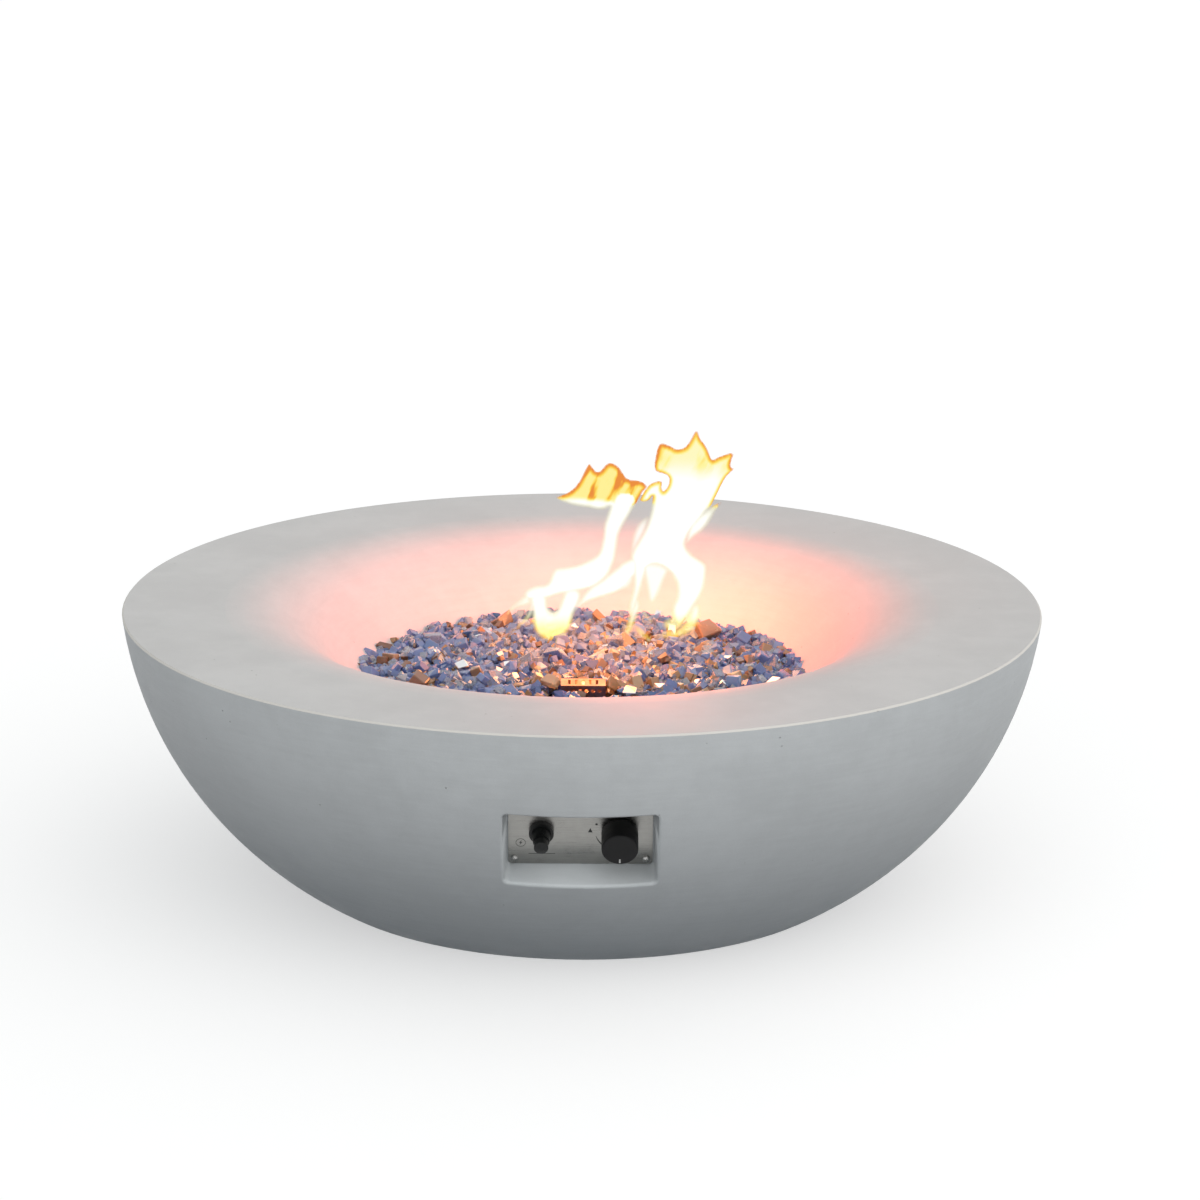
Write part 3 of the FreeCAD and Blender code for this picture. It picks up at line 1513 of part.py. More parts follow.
def make_igniter():
    battery_low = "(battery_top + battery_length)"
    housing = turned(
        [
            ("0", "0 - igniter_back"),
            ("igniter_radius", "0 - igniter_back"),
            ("igniter_radius", "0"),
            ("igniter_flange_radius", "0"),
            ("igniter_flange_radius", "igniter_flange_height"),
            ("igniter_bore", "igniter_flange_height"),
            ("igniter_bore", "0"),
            ("battery_radius + battery_gap", "0"),
            ("battery_radius + battery_gap", f"0 - {battery_low}"),
            ("0", f"0 - {battery_low}"),
        ]
    )
    finish("igniter_housing", put_on_panel(housing, IGNITER_X))
    nut = cut(
        hexagon("igniter_nut_flats", "igniter_nut_height", z="0 - igniter_nut_height"),
        cylinder("igniter_radius + pipe_gap", "igniter_nut_height", z="0 - igniter_nut_height"),
    )
    finish("igniter_locknut", put_on_panel(nut, IGNITER_X, "0", "0 - panel_thickness"))
    bore = "(button_radius + button_gap)"
    cap = turned(
        [
            (bore, "igniter_flange_height"),
            ("igniter_cap_low_radius", "igniter_flange_height"),
            ("igniter_cap_top_radius", "igniter_cap_top"),
            (bore, "igniter_cap_top"),
        ]
    )
    finish("igniter_cap", put_on_panel(cap, IGNITER_X))
    collar_top = "(igniter_flange_height - button_gap)"
    crown = "(pow(button_radius; 2) / (2 * (button_face - button_edge)) + (button_face - button_edge) / 2)"
    button = turned(
        [
            ("button_hollow", f"{collar_top} - button_collar_length"),
            ("button_collar_radius", f"{collar_top} - button_collar_length"),
            ("button_collar_radius", collar_top),
            ("button_radius", collar_top),
            ("button_radius", "button_edge"),
            ("0", "button_face"),
            ("0", "button_hollow_end"),
            ("button_hollow", "button_hollow_end"),
        ],
        {4: (crown, 1)},
    )
    finish("igniter_button", put_on_panel(button, IGNITER_X))
    coil = spring(
        "igniter_spring_radius",
        "spring_wire",
        "igniter_spring_turns",
        "button_hollow_end + battery_top - 2 * spring_gap",
        "0 - battery_top + spring_gap",
    )
    finish("igniter_spring", put_on_panel(coil, IGNITER_X))
    battery = turned(
        [
            ("0", f"0 - {battery_low}"),
            ("battery_radius", f"0 - {battery_low}"),
            ("battery_radius", "0 - battery_top"),
            ("battery_nub_radius", "0 - battery_top"),
            ("battery_nub_radius", "0 - battery_top + battery_nub_length"),
            ("0", "0 - battery_top + battery_nub_length"),
        ]
    )
    finish("igniter_battery", put_on_panel(battery, IGNITER_X))
    blade = ("blade_width", "blade_thickness", "blade_length")
    behind = "0 - igniter_back - blade_length"
    blades = [box(*blade, x=f"{sign} * blade_spacing / 2", z=behind) for sign in (-1, 1)]
    finish("igniter_terminals", put_on_panel(group(*blades), IGNITER_X))


# ---------------------------------------------------------------------------
# Hoses and leads
# ---------------------------------------------------------------------------


def make_hoses():
    outlet_end = "0 - valve_half - ferrule_end"
    valve_outlet = panel_point(KNOB_X, outlet_end, "0 - outlet_port_level")
    below_outlet = panel_point(KNOB_X, f"{outlet_end} - hose_ahead", "0 - outlet_port_level")
    valve_inlet = place_of(panel_point(f"{KNOB_X} + valve_half + ferrule_end", "0", "0 - inlet_port_level"))
    orifice = place_of((f"{ORIFICE_FLARE} + ferrule_end", "0", ELBOW_Z))
    inlet = place_of(("0", f"{INLET_FLARE} - ferrule_end", "inlet_height"))
    ahead = value("hose_ahead")
    burner_route = route(
        orifice,
        orifice + Vector(ahead, 0, 0),
        ("228", "-95", f"{ELBOW_Z} - 10"),
        ("190", "-225", f"{ELBOW_Z} - 50"),
        ("105", f"119 - {PANEL_RADIUS}", f"{CONTROL_HEIGHT} - 113"),
        below_outlet,
        valve_outlet,
    )
    finish("burner_hose", bent_tube(burner_route, value("hose_radius")))
    supply_route = route(
        inlet,
        inlet - Vector(0, ahead, 0),
        ("-34", "150", "floor_thickness + 26"),
        ("-36", "20", "floor_thickness + 8"),
        ("34", "-110", "floor_thickness + 7"),
        ("146", "-214", "floor_thickness + 11"),
        ("226", f"149 - {PANEL_RADIUS}", f"{CONTROL_HEIGHT} - 115"),
        ("216", f"77 - {PANEL_RADIUS}", f"{CONTROL_HEIGHT} - 35"),
        valve_inlet + Vector(ahead, 0, 0),
        valve_inlet,
    )
    finish("supply_hose", bent_tube(supply_route, value("hose_radius")))


def make_lead(name, start, middle, end):
    """A lead that starts square to the panel and ends upright under the pan."""
    across, along, back = start
    route_points = route(
        panel_point(across, along, back),
        panel_point(across, along, f"{back} - lead_ahead"),
        *middle,
        end - Vector(0, value("lead_slack"), value("lead_rise")),
        end,
    )
    finish(name, bent_tube(route_points, value("lead_radius")))


def make_leads():
    blade = "0 - igniter_back - blade_length"
    under_dish = f"{LEDGE} - 36"
    under_pan = f"{PAN_UNDERSIDE} - 46"
    behind = f"199 - {PANEL_RADIUS}"
    electrode_x, electrode_y = probe_places()[0]
    thermo_x, thermo_y = probe_places()[1]
    make_lead(
        "ignition_lead",
        (f"{IGNITER_X} + blade_spacing / 2", "0", blade),
        [("-35", behind, under_dish), ("-22", "-160", under_pan)],
        place_of((electrode_x, electrode_y, f"{PAN_FLOOR} - electrode_start - lead_end_gap")),
    )
    make_lead(
        "ground_lead",
        (f"{IGNITER_X} - blade_spacing / 2", "0", blade),
        [("-62", behind, f"{under_dish} - 4"), ("-58", "-160", f"{under_pan} + 8")],
        place_of((f"{electrode_x} - ground_spacing", electrode_y, f"{PAN_UNDERSIDE} - lead_end_gap")),
    )
    make_lead(
        "thermocouple_lead",
        (KNOB_X, "0", "0 - magnet_nut_end"),
        [("40", behind, f"{under_dish} - 2"), ("28", "-165", f"{under_pan} - 2")],
        place_of((thermo_x, thermo_y, f"{PAN_FLOOR} - thermo_start - lead_end_gap")),
    )


# ---------------------------------------------------------------------------
# Build, check and write
# ---------------------------------------------------------------------------


def check_document():
    for item in document.Objects:
        if "Invalid" in item.State or "Error" in item.State:
            raise RuntimeError(f"{item.Name} ({item.Label}) failed: {item.State}")
    for item in finished:
        if item.Shape.isNull() or not item.Shape.isValid() or not item.Shape.Solids:
            raise RuntimeError(f"{item.Label} has no valid shape")


def write_parts():
    os.makedirs("parts", exist_ok=True)
    for item in finished:
        item.Shape.exportStep(f"parts/{item.Label}.step")
        print(item.Label, len(item.Shape.Solids), round(item.Shape.Volume))


def main():
    fill_sheet()
    make_bowl_shell()
    make_top_dish()
    make_inserts()
    make_screws()
    make_burner_pan()
    make_ring_burner()
    make_burner_feet()
    make_bed()
    make_pilot_guard()
    make_pilot_bracket()
    make_probes()
    make_feed_pipe()
    make_elbow()
    make_mixer()
    make_orifice()
    make_hose_ends()
    make_gas_inlet()
    make_control_panel()
    make_valve_body()
    make_valve_insides()
    make_spindle()
    make_knob()
    make_igniter()
    make_hoses()
    make_leads()
    document.recompute()
    check_document()
    write_parts()


main()
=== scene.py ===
"""Looks of the gas fire bowl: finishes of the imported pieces, loose fire glass, flame and studio."""

import json
import math

import bmesh
import bpy
import numpy as np
from mathutils import Matrix, Vector, noise
from mathutils.bvhtree import BVHTree
from mathutils.geometry import delaunay_2d_cdt


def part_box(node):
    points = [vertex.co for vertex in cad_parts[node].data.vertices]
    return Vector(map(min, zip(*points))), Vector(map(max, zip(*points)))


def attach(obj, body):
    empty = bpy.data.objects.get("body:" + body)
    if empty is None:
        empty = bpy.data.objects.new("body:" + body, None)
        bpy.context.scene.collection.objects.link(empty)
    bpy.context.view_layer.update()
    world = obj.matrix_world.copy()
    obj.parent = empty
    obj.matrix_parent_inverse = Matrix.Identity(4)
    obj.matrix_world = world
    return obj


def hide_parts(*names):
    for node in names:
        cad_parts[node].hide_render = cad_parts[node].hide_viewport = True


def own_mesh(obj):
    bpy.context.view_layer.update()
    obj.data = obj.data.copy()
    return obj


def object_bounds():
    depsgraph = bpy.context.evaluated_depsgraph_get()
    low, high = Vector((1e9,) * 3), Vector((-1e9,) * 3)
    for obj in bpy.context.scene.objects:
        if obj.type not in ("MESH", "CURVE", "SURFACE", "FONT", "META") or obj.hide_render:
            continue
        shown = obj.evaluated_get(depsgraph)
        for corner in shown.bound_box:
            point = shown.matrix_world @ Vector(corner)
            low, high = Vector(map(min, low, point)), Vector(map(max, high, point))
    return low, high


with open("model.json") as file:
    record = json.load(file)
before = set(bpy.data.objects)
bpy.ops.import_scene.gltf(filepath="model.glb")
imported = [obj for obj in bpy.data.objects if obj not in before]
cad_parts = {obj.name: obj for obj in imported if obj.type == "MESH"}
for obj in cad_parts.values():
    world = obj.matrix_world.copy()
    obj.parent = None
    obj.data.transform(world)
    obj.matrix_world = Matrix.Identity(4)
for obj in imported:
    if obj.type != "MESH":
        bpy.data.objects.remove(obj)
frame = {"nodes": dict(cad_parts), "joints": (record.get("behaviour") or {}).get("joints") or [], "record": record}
CAD_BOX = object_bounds()
SCENE = bpy.context.scene

# ---- Places and sizes in metres, from the frame where it holds them ----

MILLIMETRE = 0.001
RIM_TOP = CAD_BOX[1].z
RIM_RADIUS = CAD_BOX[1].x
RIM_CHAMFER = 0.002
BED_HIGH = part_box("fire_glass_bed")[1]
BED_RADIUS = BED_HIGH.x
BED_TOP = BED_HIGH.z
BED_EDGE = BED_TOP - 0.0075
# Lowest part of the bed that a ray from above may count as its surface.
BED_FLOOR = BED_TOP - 0.020
# Flat ledge of the dish that carries the glass, and the slope around it.
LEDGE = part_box("top_dish")[0].z + 0.015
LEDGE_RADIUS = 0.236
SLOPE = math.radians(42)
GUARD_LOW, GUARD_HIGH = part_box("pilot_guard")

KNOB_JOINT = next(joint for joint in frame["joints"] if joint["name"] == "knob_turn")
PANEL_OUT = Vector(KNOB_JOINT["axis"]).normalized()
PANEL_ACROSS = Vector((1, 0, 0))
PANEL_UP = PANEL_OUT.cross(PANEL_ACROSS)
KNOB_X, PANEL_Y, PANEL_Z = KNOB_JOINT["pos_m"]
PANEL_FRAME = Matrix((PANEL_ACROSS, PANEL_UP, PANEL_OUT)).transposed().to_4x4()
PANEL_FRAME.translation = (0, PANEL_Y, PANEL_Z)

# ---- Node helpers ----


def add(tree, kind, inputs=None, **settings):
    """A node with its settings, and its inputs linked to sockets or set to values."""
    made = tree.nodes.new(kind)
    for name, setting in settings.items():
        setattr(made, name, setting)
    for name, given in (inputs or {}).items():
        socket = made.inputs[name]
        if isinstance(given, bpy.types.NodeSocket):
            tree.links.new(given, socket)
        else:
            socket.default_value = given
    return made


def new_material(name):
    """An empty node material, and its tree."""
    made = bpy.data.materials.new(name)
    made.use_nodes = True
    made.node_tree.nodes.clear()
    return made, made.node_tree


def rgba(colour):
    return (*colour, 1.0)


def coordinates(tree, stretch=(1, 1, 1)):
    """Coordinates fixed to the piece, in metres, stretched along its axes."""
    source = add(tree, "ShaderNodeTexCoord").outputs["Object"]
    return add(tree, "ShaderNodeMapping", {"Vector": source, "Scale": stretch}).outputs[0]


def noise_of(tree, vector, scale, detail=3.0, roughness=0.5):
    inputs = {"Vector": vector, "Scale": scale, "Detail": detail, "Roughness": roughness}
    return add(tree, "ShaderNodeTexNoise", inputs).outputs[0]


def spots_of(tree, vector, scale):
    """Distance to scattered points."""
    inputs = {"Vector": vector, "Scale": scale}
    return add(tree, "ShaderNodeTexVoronoi", inputs, feature="F1").outputs["Distance"]


def attribute_of(tree, name):
    return add(tree, "ShaderNodeAttribute", attribute_name=name).outputs["Fac"]


def maths(tree, operation, *terms):
    """One step of arithmetic on sockets and numbers."""
    return add(tree, "ShaderNodeMath", dict(enumerate(terms)), operation=operation).outputs[0]


def vector_maths(tree, operation, *terms, output="Vector"):
    return add(tree, "ShaderNodeVectorMath", dict(enumerate(terms)), operation=operation).outputs[output]


def remap(tree, value, low, high, new_low=0.0, new_high=1.0):
    """Smooth step of a value from the range low to high into the new range."""
    inputs = {0: value, 1: low, 2: high, 3: new_low, 4: new_high}
    return add(tree, "ShaderNodeMapRange", inputs, interpolation_type="SMOOTHSTEP").outputs[0]


def blend_colours(tree, factor, first, second):
    made = add(tree, "ShaderNodeMix", data_type="RGBA")
    for index, given in ((0, factor), (6, first), (7, second)):
        if isinstance(given, bpy.types.NodeSocket):
            tree.links.new(given, made.inputs[index])
        else:
            made.inputs[index].default_value = given if index == 0 else rgba(given)
    return made.outputs[2]


def sum_of(tree, *terms):
    """Weighted sum of sockets, given as (socket, weight) pairs."""
    total = 0.0
    for socket, weight in terms:
        total = maths(tree, "MULTIPLY_ADD", socket, weight, total)
    return total


def ramp_of(tree, factor, stops):
    """Colour that goes through the stops, given as (position, colour) pairs."""
    ramp = add(tree, "ShaderNodeValToRGB", {"Fac": factor})
    steps = ramp.color_ramp.elements
    steps[0].position, steps[0].color = stops[0][0], rgba(stops[0][1])
    steps[1].position, steps[1].color = stops[-1][0], rgba(stops[-1][1])
    for place, colour in stops[1:-1]:
        steps.new(place).color = rgba(colour)
    return ramp.outputs["Color"]


def bump(tree, height, distance, strength=1.0, onto=None):
    inputs = {"Height": height, "Distance": distance, "Strength": strength}
    if onto is not None:
        inputs["Normal"] = onto
    return add(tree, "ShaderNodeBump", inputs).outputs[0]


def principled(tree, colour, roughness, normal=None, **constants):
    """The surface shader. Constants are given by socket name with _ for a space."""
    inputs = {"Roughness": roughness}
    inputs["Base Color"] = colour if isinstance(colour, bpy.types.NodeSocket) else rgba(colour)
    if normal is not None:
        inputs["Normal"] = normal
    for name, given in constants.items():
        inputs[name.replace("_", " ")] = given
    shader = add(tree, "ShaderNodeBsdfPrincipled", inputs)
    add(tree, "ShaderNodeOutputMaterial", {"Surface": shader.outputs[0]})


# ---- Materials ----

# Concrete: how dark pinholes are, the painted highlight along the rim's outer edge and the painted shade at the
# foot. Glass: its sealed shine.
PINHOLE_SHADE = 0.38
EDGE_HIGHLIGHT = (0.74, 0.69, 0.62)
EDGE_HIGHLIGHT_SHARE = 0.55
FOOT_SHADE_HEIGHT = 0.03
FOOT_SHADE_SHARE = 0.22
CHIP_COAT = 0.6
CHIP_COAT_ROUGHNESS = 0.03
GLASS_IOR = 1.5


def shades(colour, *factors):
    """The colour, darker or lighter by each factor."""
    return [[min(1.0, channel * factor) for channel in colour] for factor in factors]


def concrete(name, tone):
    """Smooth glass-fibre concrete: cloudy tone, faint trowel drag, pinholes, specks, satin sealer."""
    made, tree = new_material(name)
    here = coordinates(tree)
    clouds = noise_of(tree, here, 5.0, 4.0, 0.55)
    mottle = noise_of(tree, here, 38.0, 6.0, 0.6)
    drag = noise_of(tree, coordinates(tree, (5, 5, 55)), 4.0, 5.0, 0.6)
    grain = noise_of(tree, here, 900.0, 2.0)
    holes = spots_of(tree, here, 55.0)
    gate = noise_of(tree, here, 23.0, 1.0)
    shade = sum_of(tree, (clouds, 0.5), (mottle, 0.28), (drag, 0.22))
    dark, light, speck, pinhole, foot_shade_colour = shades(tone, 0.93, 1.05, 0.7, 0.28, 0.6)
    colour = blend_colours(tree, remap(tree, shade, 0.36, 0.64), dark, light)
    colour = blend_colours(tree, remap(tree, grain, 0.35, 0.65, 0.0, 0.10), colour, speck)
    pin = remap(tree, holes, 0.035, 0.075, 1.0, 0.0)
    rare = remap(tree, gate, 0.58, 0.66)
    pit = maths(tree, "MULTIPLY", pin, rare)
    colour = blend_colours(tree, maths(tree, "MULTIPLY", pit, PINHOLE_SHADE), colour, pinhole)
    height = add(tree, "ShaderNodeSeparateXYZ", {0: here}).outputs["Z"]
    flat = vector_maths(tree, "MULTIPLY", here, (1, 1, 0))
    reach = vector_maths(tree, "LENGTH", flat, output="Value")
    # Painted highlight: a pale warm band on the chamfer at the rim's outer top edge, where it catches the light.
    upper = remap(tree, height, RIM_TOP - 1.3 * RIM_CHAMFER, RIM_TOP - 0.9 * RIM_CHAMFER)
    outside = remap(tree, reach, RIM_RADIUS - 1.1 * RIM_CHAMFER, RIM_RADIUS - 0.8 * RIM_CHAMFER)
    painted_edge_highlight = maths(tree, "MULTIPLY", maths(tree, "MULTIPLY", upper, outside), EDGE_HIGHLIGHT_SHARE)
    colour = blend_colours(tree, painted_edge_highlight, colour, EDGE_HIGHLIGHT)
    # Painted shade: the concrete darkens towards the foot, where the bowl meets the floor.
    painted_foot_shade = remap(tree, height, 0.0, FOOT_SHADE_HEIGHT, FOOT_SHADE_SHARE, 0.0)
    colour = blend_colours(tree, painted_foot_shade, colour, foot_shade_colour)
    rough = sum_of(tree, (mottle, 0.50), (clouds, 0.3), (pit, 0.3), (grain, 0.4))
    surface = sum_of(tree, (mottle, 0.5), (drag, 0.35), (grain, 0.12), (pit, -1.5))
    normal = bump(tree, surface, 0.0006, 0.8, onto=bump(tree, clouds, 0.004, 0.5))
    principled(tree, colour, rough, normal, Specular_IOR_Level=0.16)
    return made


def brushed_steel(name, colour, roughness, stretch=(4, 400, 400), tint=None):
    """Sheet metal with fine lines along one axis and faint smudges."""
    made, tree = new_material(name)
    lines = noise_of(tree, coordinates(tree, stretch), 6.0, 5.0, 0.7)
    smudges = noise_of(tree, coordinates(tree), 45.0, 4.0, 0.6)
    dark, light = shades(colour, 0.84, 1.12)
    shade = sum_of(tree, (lines, 0.7), (smudges, 0.3))
    mixed = blend_colours(tree, remap(tree, shade, 0.35, 0.65), dark, light)
    if tint is not None:
        heat = remap(tree, noise_of(tree, coordinates(tree), 18.0, 3.0), 0.4, 0.62, 0.0, 0.7)
        mixed = blend_colours(tree, heat, mixed, tint)
    rough = sum_of(tree, (smudges, roughness * 0.7), (lines, roughness * 0.9))
    principled(tree, mixed, rough, bump(tree, lines, 0.0001, 0.35), Metallic=1.0)
    return made


def turned_metal(name, colour, roughness=0.3):
    """Machined or plated metal with tool marks and a little tarnish."""
    made, tree = new_material(name)
    marks = noise_of(tree, coordinates(tree, (1, 1, 14)), 160.0, 3.0)
    tarnish = noise_of(tree, coordinates(tree), 70.0, 4.0, 0.65)
    mixed = blend_colours(tree, remap(tree, tarnish, 0.42, 0.72), colour, *shades(colour, 0.62))
    rough = sum_of(tree, (tarnish, roughness), (marks, roughness))
    principled(tree, mixed, rough, bump(tree, marks, 0.00008, 0.4), Metallic=1.0)
    return made


def cast_metal(name, colour, roughness=0.6):
    """Sand-cast or die-cast metal with a pebbled skin."""
    made, tree = new_material(name)
    skin = noise_of(tree, coordinates(tree), 420.0, 4.0, 0.6)
    patches = noise_of(tree, coordinates(tree), 40.0, 3.0)
    mixed = blend_colours(tree, remap(tree, patches, 0.35, 0.65), *shades(colour, 0.75), colour)
    rough = sum_of(tree, (patches, 0.3), (skin, roughness))
    principled(tree, mixed, rough, bump(tree, skin, 0.0004, 0.7), Metallic=0.85)
    return made


def moulded(name, colour, roughness, grain=1400.0, depth=0.00008, **constants):
    """Moulded plastic, rubber or glaze with a fine texture, dust, and a roughness that wear makes uneven."""
    made, tree = new_material(name)
    texture = noise_of(tree, coordinates(tree), grain, 3.0, 0.6)
    wear = noise_of(tree, coordinates(tree), 90.0, 4.0, 0.6)
    dust = remap(tree, wear, 0.42, 0.75, 0.0, 0.25)
    mixed = blend_colours(tree, dust, colour, [min(1.0, c * 1.6 + 0.006) for c in colour])
    rough = sum_of(tree, (wear, roughness * 0.7), (texture, roughness * 0.75), (wear, roughness * 0.5))
    principled(tree, mixed, rough, bump(tree, texture, depth, 0.8), **constants)
    return made


def lava(name):
    """Porous dark red-brown rock."""
    made, tree = new_material(name)
    lumps = spots_of(tree, coordinates(tree), 70.0)
    pores = spots_of(tree, coordinates(tree), 420.0)
    tone = noise_of(tree, coordinates(tree), 60.0, 4.0)
    mixed = blend_colours(tree, remap(tree, tone, 0.35, 0.65), (0.035, 0.018, 0.015), (0.16, 0.075, 0.055))
    surface = sum_of(tree, (lumps, -2.0), (pores, 0.6))
    rough = remap(tree, pores, 0.1, 0.6, 0.75, 0.95)
    principled(tree, mixed, rough, bump(tree, surface, 0.004, 1.0))
    return made


def chip_glass(name, stops, roughness, clearness=0.0, metal=0.0):
    """Broken glass whose tone goes from chip to chip through the stops, with flow lines and dulled faces."""
    made, tree = new_material(name)
    tone = attribute_of(tree, "tone")
    flow = noise_of(tree, coordinates(tree), 160.0, 3.0, 0.55)
    colour = ramp_of(tree, sum_of(tree, (tone, 0.82), (flow, 0.18)), stops)
    rough = sum_of(tree, (flow, roughness * 1.3), (tone, roughness * 0.7))
    normal = bump(tree, flow, 0.0006, 0.35)
    principled(
        tree, colour, rough, normal, Transmission_Weight=clearness, Metallic=metal, IOR=GLASS_IOR,
        Coat_Weight=CHIP_COAT, Coat_Roughness=CHIP_COAT_ROUGHNESS,
    )
    return made


def make_materials():
    """One finish for each material slot of the record."""
    return {
        "shell_concrete": concrete("shell_concrete", (0.500, 0.530, 0.545)),
        "dish_concrete": concrete("dish_concrete", (0.575, 0.575, 0.570)),
        # The stainless sheet is darker than bare steel: painted shade for the shadowed recess that the panel
        # reflects.
        "stainless_sheet": brushed_steel("stainless_sheet", (0.33, 0.325, 0.31), 0.40),
        "burner_steel": brushed_steel(
            "burner_steel", (0.22, 0.14, 0.16), 0.50, stretch=(60, 60, 60), tint=(0.20, 0.09, 0.07),
        ),
        "fastener_steel": turned_metal("fastener_steel", (0.42, 0.42, 0.41), 0.26),
        "zinc_steel": turned_metal("zinc_steel", (0.62, 0.62, 0.58), 0.34),
        "spring_steel": turned_metal("spring_steel", (0.45, 0.45, 0.46), 0.30),
        "brass": turned_metal("brass", (0.78, 0.56, 0.26), 0.26),
        "cast_aluminium": cast_metal("cast_aluminium", (0.60, 0.61, 0.62), 0.45),
        "cast_mixer": cast_metal("cast_mixer", (0.22, 0.22, 0.23), 0.65),
        "lava_rock": lava("lava_rock"),
        "white_ceramic": moulded("white_ceramic", (0.78, 0.76, 0.70), 0.35, 600.0),
        "black_knob": moulded(
            "black_knob", (0.0045, 0.0045, 0.005), 0.50, 1600.0, 0.0001, Specular_IOR_Level=0.22,
        ),
        "black_igniter": moulded(
            "black_igniter", (0.005, 0.006, 0.006), 0.34, 1800.0, 0.00005, Specular_IOR_Level=0.28,
        ),
        "white_mark": moulded("white_mark", (0.50, 0.50, 0.49), 0.45),
        "hose_rubber": moulded("hose_rubber", (0.018, 0.018, 0.019), 0.55, 700.0, 0.0002),
        "lead_sheath": moulded("lead_sheath", (0.33, 0.035, 0.025), 0.45, 900.0),
        "copper_capillary": turned_metal("copper_capillary", (0.76, 0.38, 0.24), 0.28),
        "battery_jacket": moulded("battery_jacket", (0.06, 0.07, 0.08), 0.30, 1200.0, Coat_Weight=0.5),
        # Glass under the chips, dark navy: painted shade for the gaps between them.
        "fire_glass": chip_glass(
            "fire_glass",
            [(0.05, (0.015, 0.022, 0.060)), (0.35, (0.050, 0.072, 0.165)), (0.7, (0.120, 0.155, 0.290)),
             (0.95, (0.30, 0.36, 0.50))],
            0.10, clearness=0.25,
        ),
    }


def apply_materials(materials):
    for part in frame["record"]["subparts"]:
        slots = frame["nodes"][part["node"]].data.materials
        for index, _ in enumerate(slots):
            slots[index] = materials[part["material_slot"]]


# ---- Pieces ----


def add_object(name, mesh, material):
    mesh.materials.append(material)
    made = bpy.data.objects.new(name, mesh)
    SCENE.collection.objects.link(made)
    return made


def piece(name, mesh, material, body):
    made = add_object(name, mesh, material)
    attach(made, body)
    return made


def mesh_of(name, form):
    mesh = bpy.data.meshes.new(name)
    form.to_mesh(mesh)
    form.free()
    return mesh


# ---- Fire glass ----

CHIP_SHAPES = 26
CHIP_SEED = 11
CHIP_SPACING = 0.0100
# Chips above this size show their dulled edges, so they get the finer shapes.
LARGE_CHIP = 0.0125
CHIP_CORNER_JITTER = 0.16
CHIP_EXTRA_CORNERS = 4
CHIP_DULLING = 0.045
CHIP_FLAT_ANGLE = math.radians(9)
# Share of small chips, the middle size of small and other chips, the spread of sizes and their limits.
SMALL_SHARE = 0.58
SMALL_SIZE = 0.0080
OTHER_SIZE = 0.0116
SIZE_SPREAD = 0.19
SIZE_LIMITS = (0.0056, 0.0205)
# Depth of each layer's centres below the bed's own surface, and their scatter.
CHIP_LAYERS = ((-0.0145, 0.0020), (-0.0085, 0.0018), (-0.0034, 0.0016))
# Chips around the bed's edge: how many, how far inside it they start, and how far they climb and stand out.
STRAY_CHIPS = 150
STRAY_START = 0.006
STRAY_RISE = 0.0022
STRAY_LIFT = 0.002
# The glass lies lower towards its edge: by how much, and over which radii.
EDGE_SINK = 0.0048
SINK_RADII = (0.17, 0.26)
GUARD_MARGIN = 0.0065
# In the top layer the margin in front of the guard is wider by this factor.
GUARD_FRONT = 2.2
# Painted flame light on the glass: near the guard more slate chips are made amber, standing for the flame's warm
# glow on them. Its middle, its reach and the share of slate chips that it takes.
FLAME_GLOW_PATCH = (0.030, -0.030)
FLAME_GLOW_REACH = 0.125
FLAME_GLOW_SHARE = 0.34
# Packed glass under the chips: height, gap to the slope, lumps, taper, rings, steps around and tone, kept dark as
# painted shade in the gaps between the chips.
PACKED_HEIGHT = 0.0065
PACKED_GAP = 0.002
PACKED_LUMP = 0.002
PACKED_LUMP_SCALE = 90
PACKED_TAPER = 0.97
PACKED_RINGS = 26
PACKED_AROUND = 96
PACKED_SHADE_TONE = 0.12

# Kind of glass: share, roughness, clearness, metal and tones.
CHIP_KINDS = {
    "slate": (0.580, 0.08, 0.60, 0.0, (
        (0.05, (0.160, 0.240, 0.560)), (0.4, (0.260, 0.370, 0.760)), (0.75, (0.390, 0.500, 0.860)),
        (0.95, (0.600, 0.700, 0.950)),
    )),
    "pale": (0.235, 0.07, 0.70, 0.0, (
        (0.05, (0.44, 0.48, 0.66)), (0.5, (0.62, 0.65, 0.78)), (0.95, (0.84, 0.88, 0.94)),
    )),
    "copper": (0.110, 0.20, 0.0, 0.20, (
        (0.05, (0.120, 0.060, 0.040)), (0.5, (0.230, 0.115, 0.070)), (0.95, (0.390, 0.230, 0.140)),
    )),
    "cobalt": (0.050, 0.08, 0.45, 0.0, (
        (0.05, (0.070, 0.140, 0.360)), (0.5, (0.120, 0.240, 0.560)), (0.95, (0.260, 0.420, 0.720)),
    )),
    "amber": (0.035, 0.07, 0.55, 0.0, (
        (0.05, (0.480, 0.240, 0.100)), (0.5, (0.640, 0.380, 0.190)), (0.95, (0.800, 0.560, 0.340)),
    )),
    "mirror": (0.018, 0.04, 0.0, 1.0, (
        (0.05, (0.60, 0.63, 0.66)), (0.5, (0.78, 0.79, 0.80)), (0.95, (0.95, 0.95, 0.93)),
    )),
}

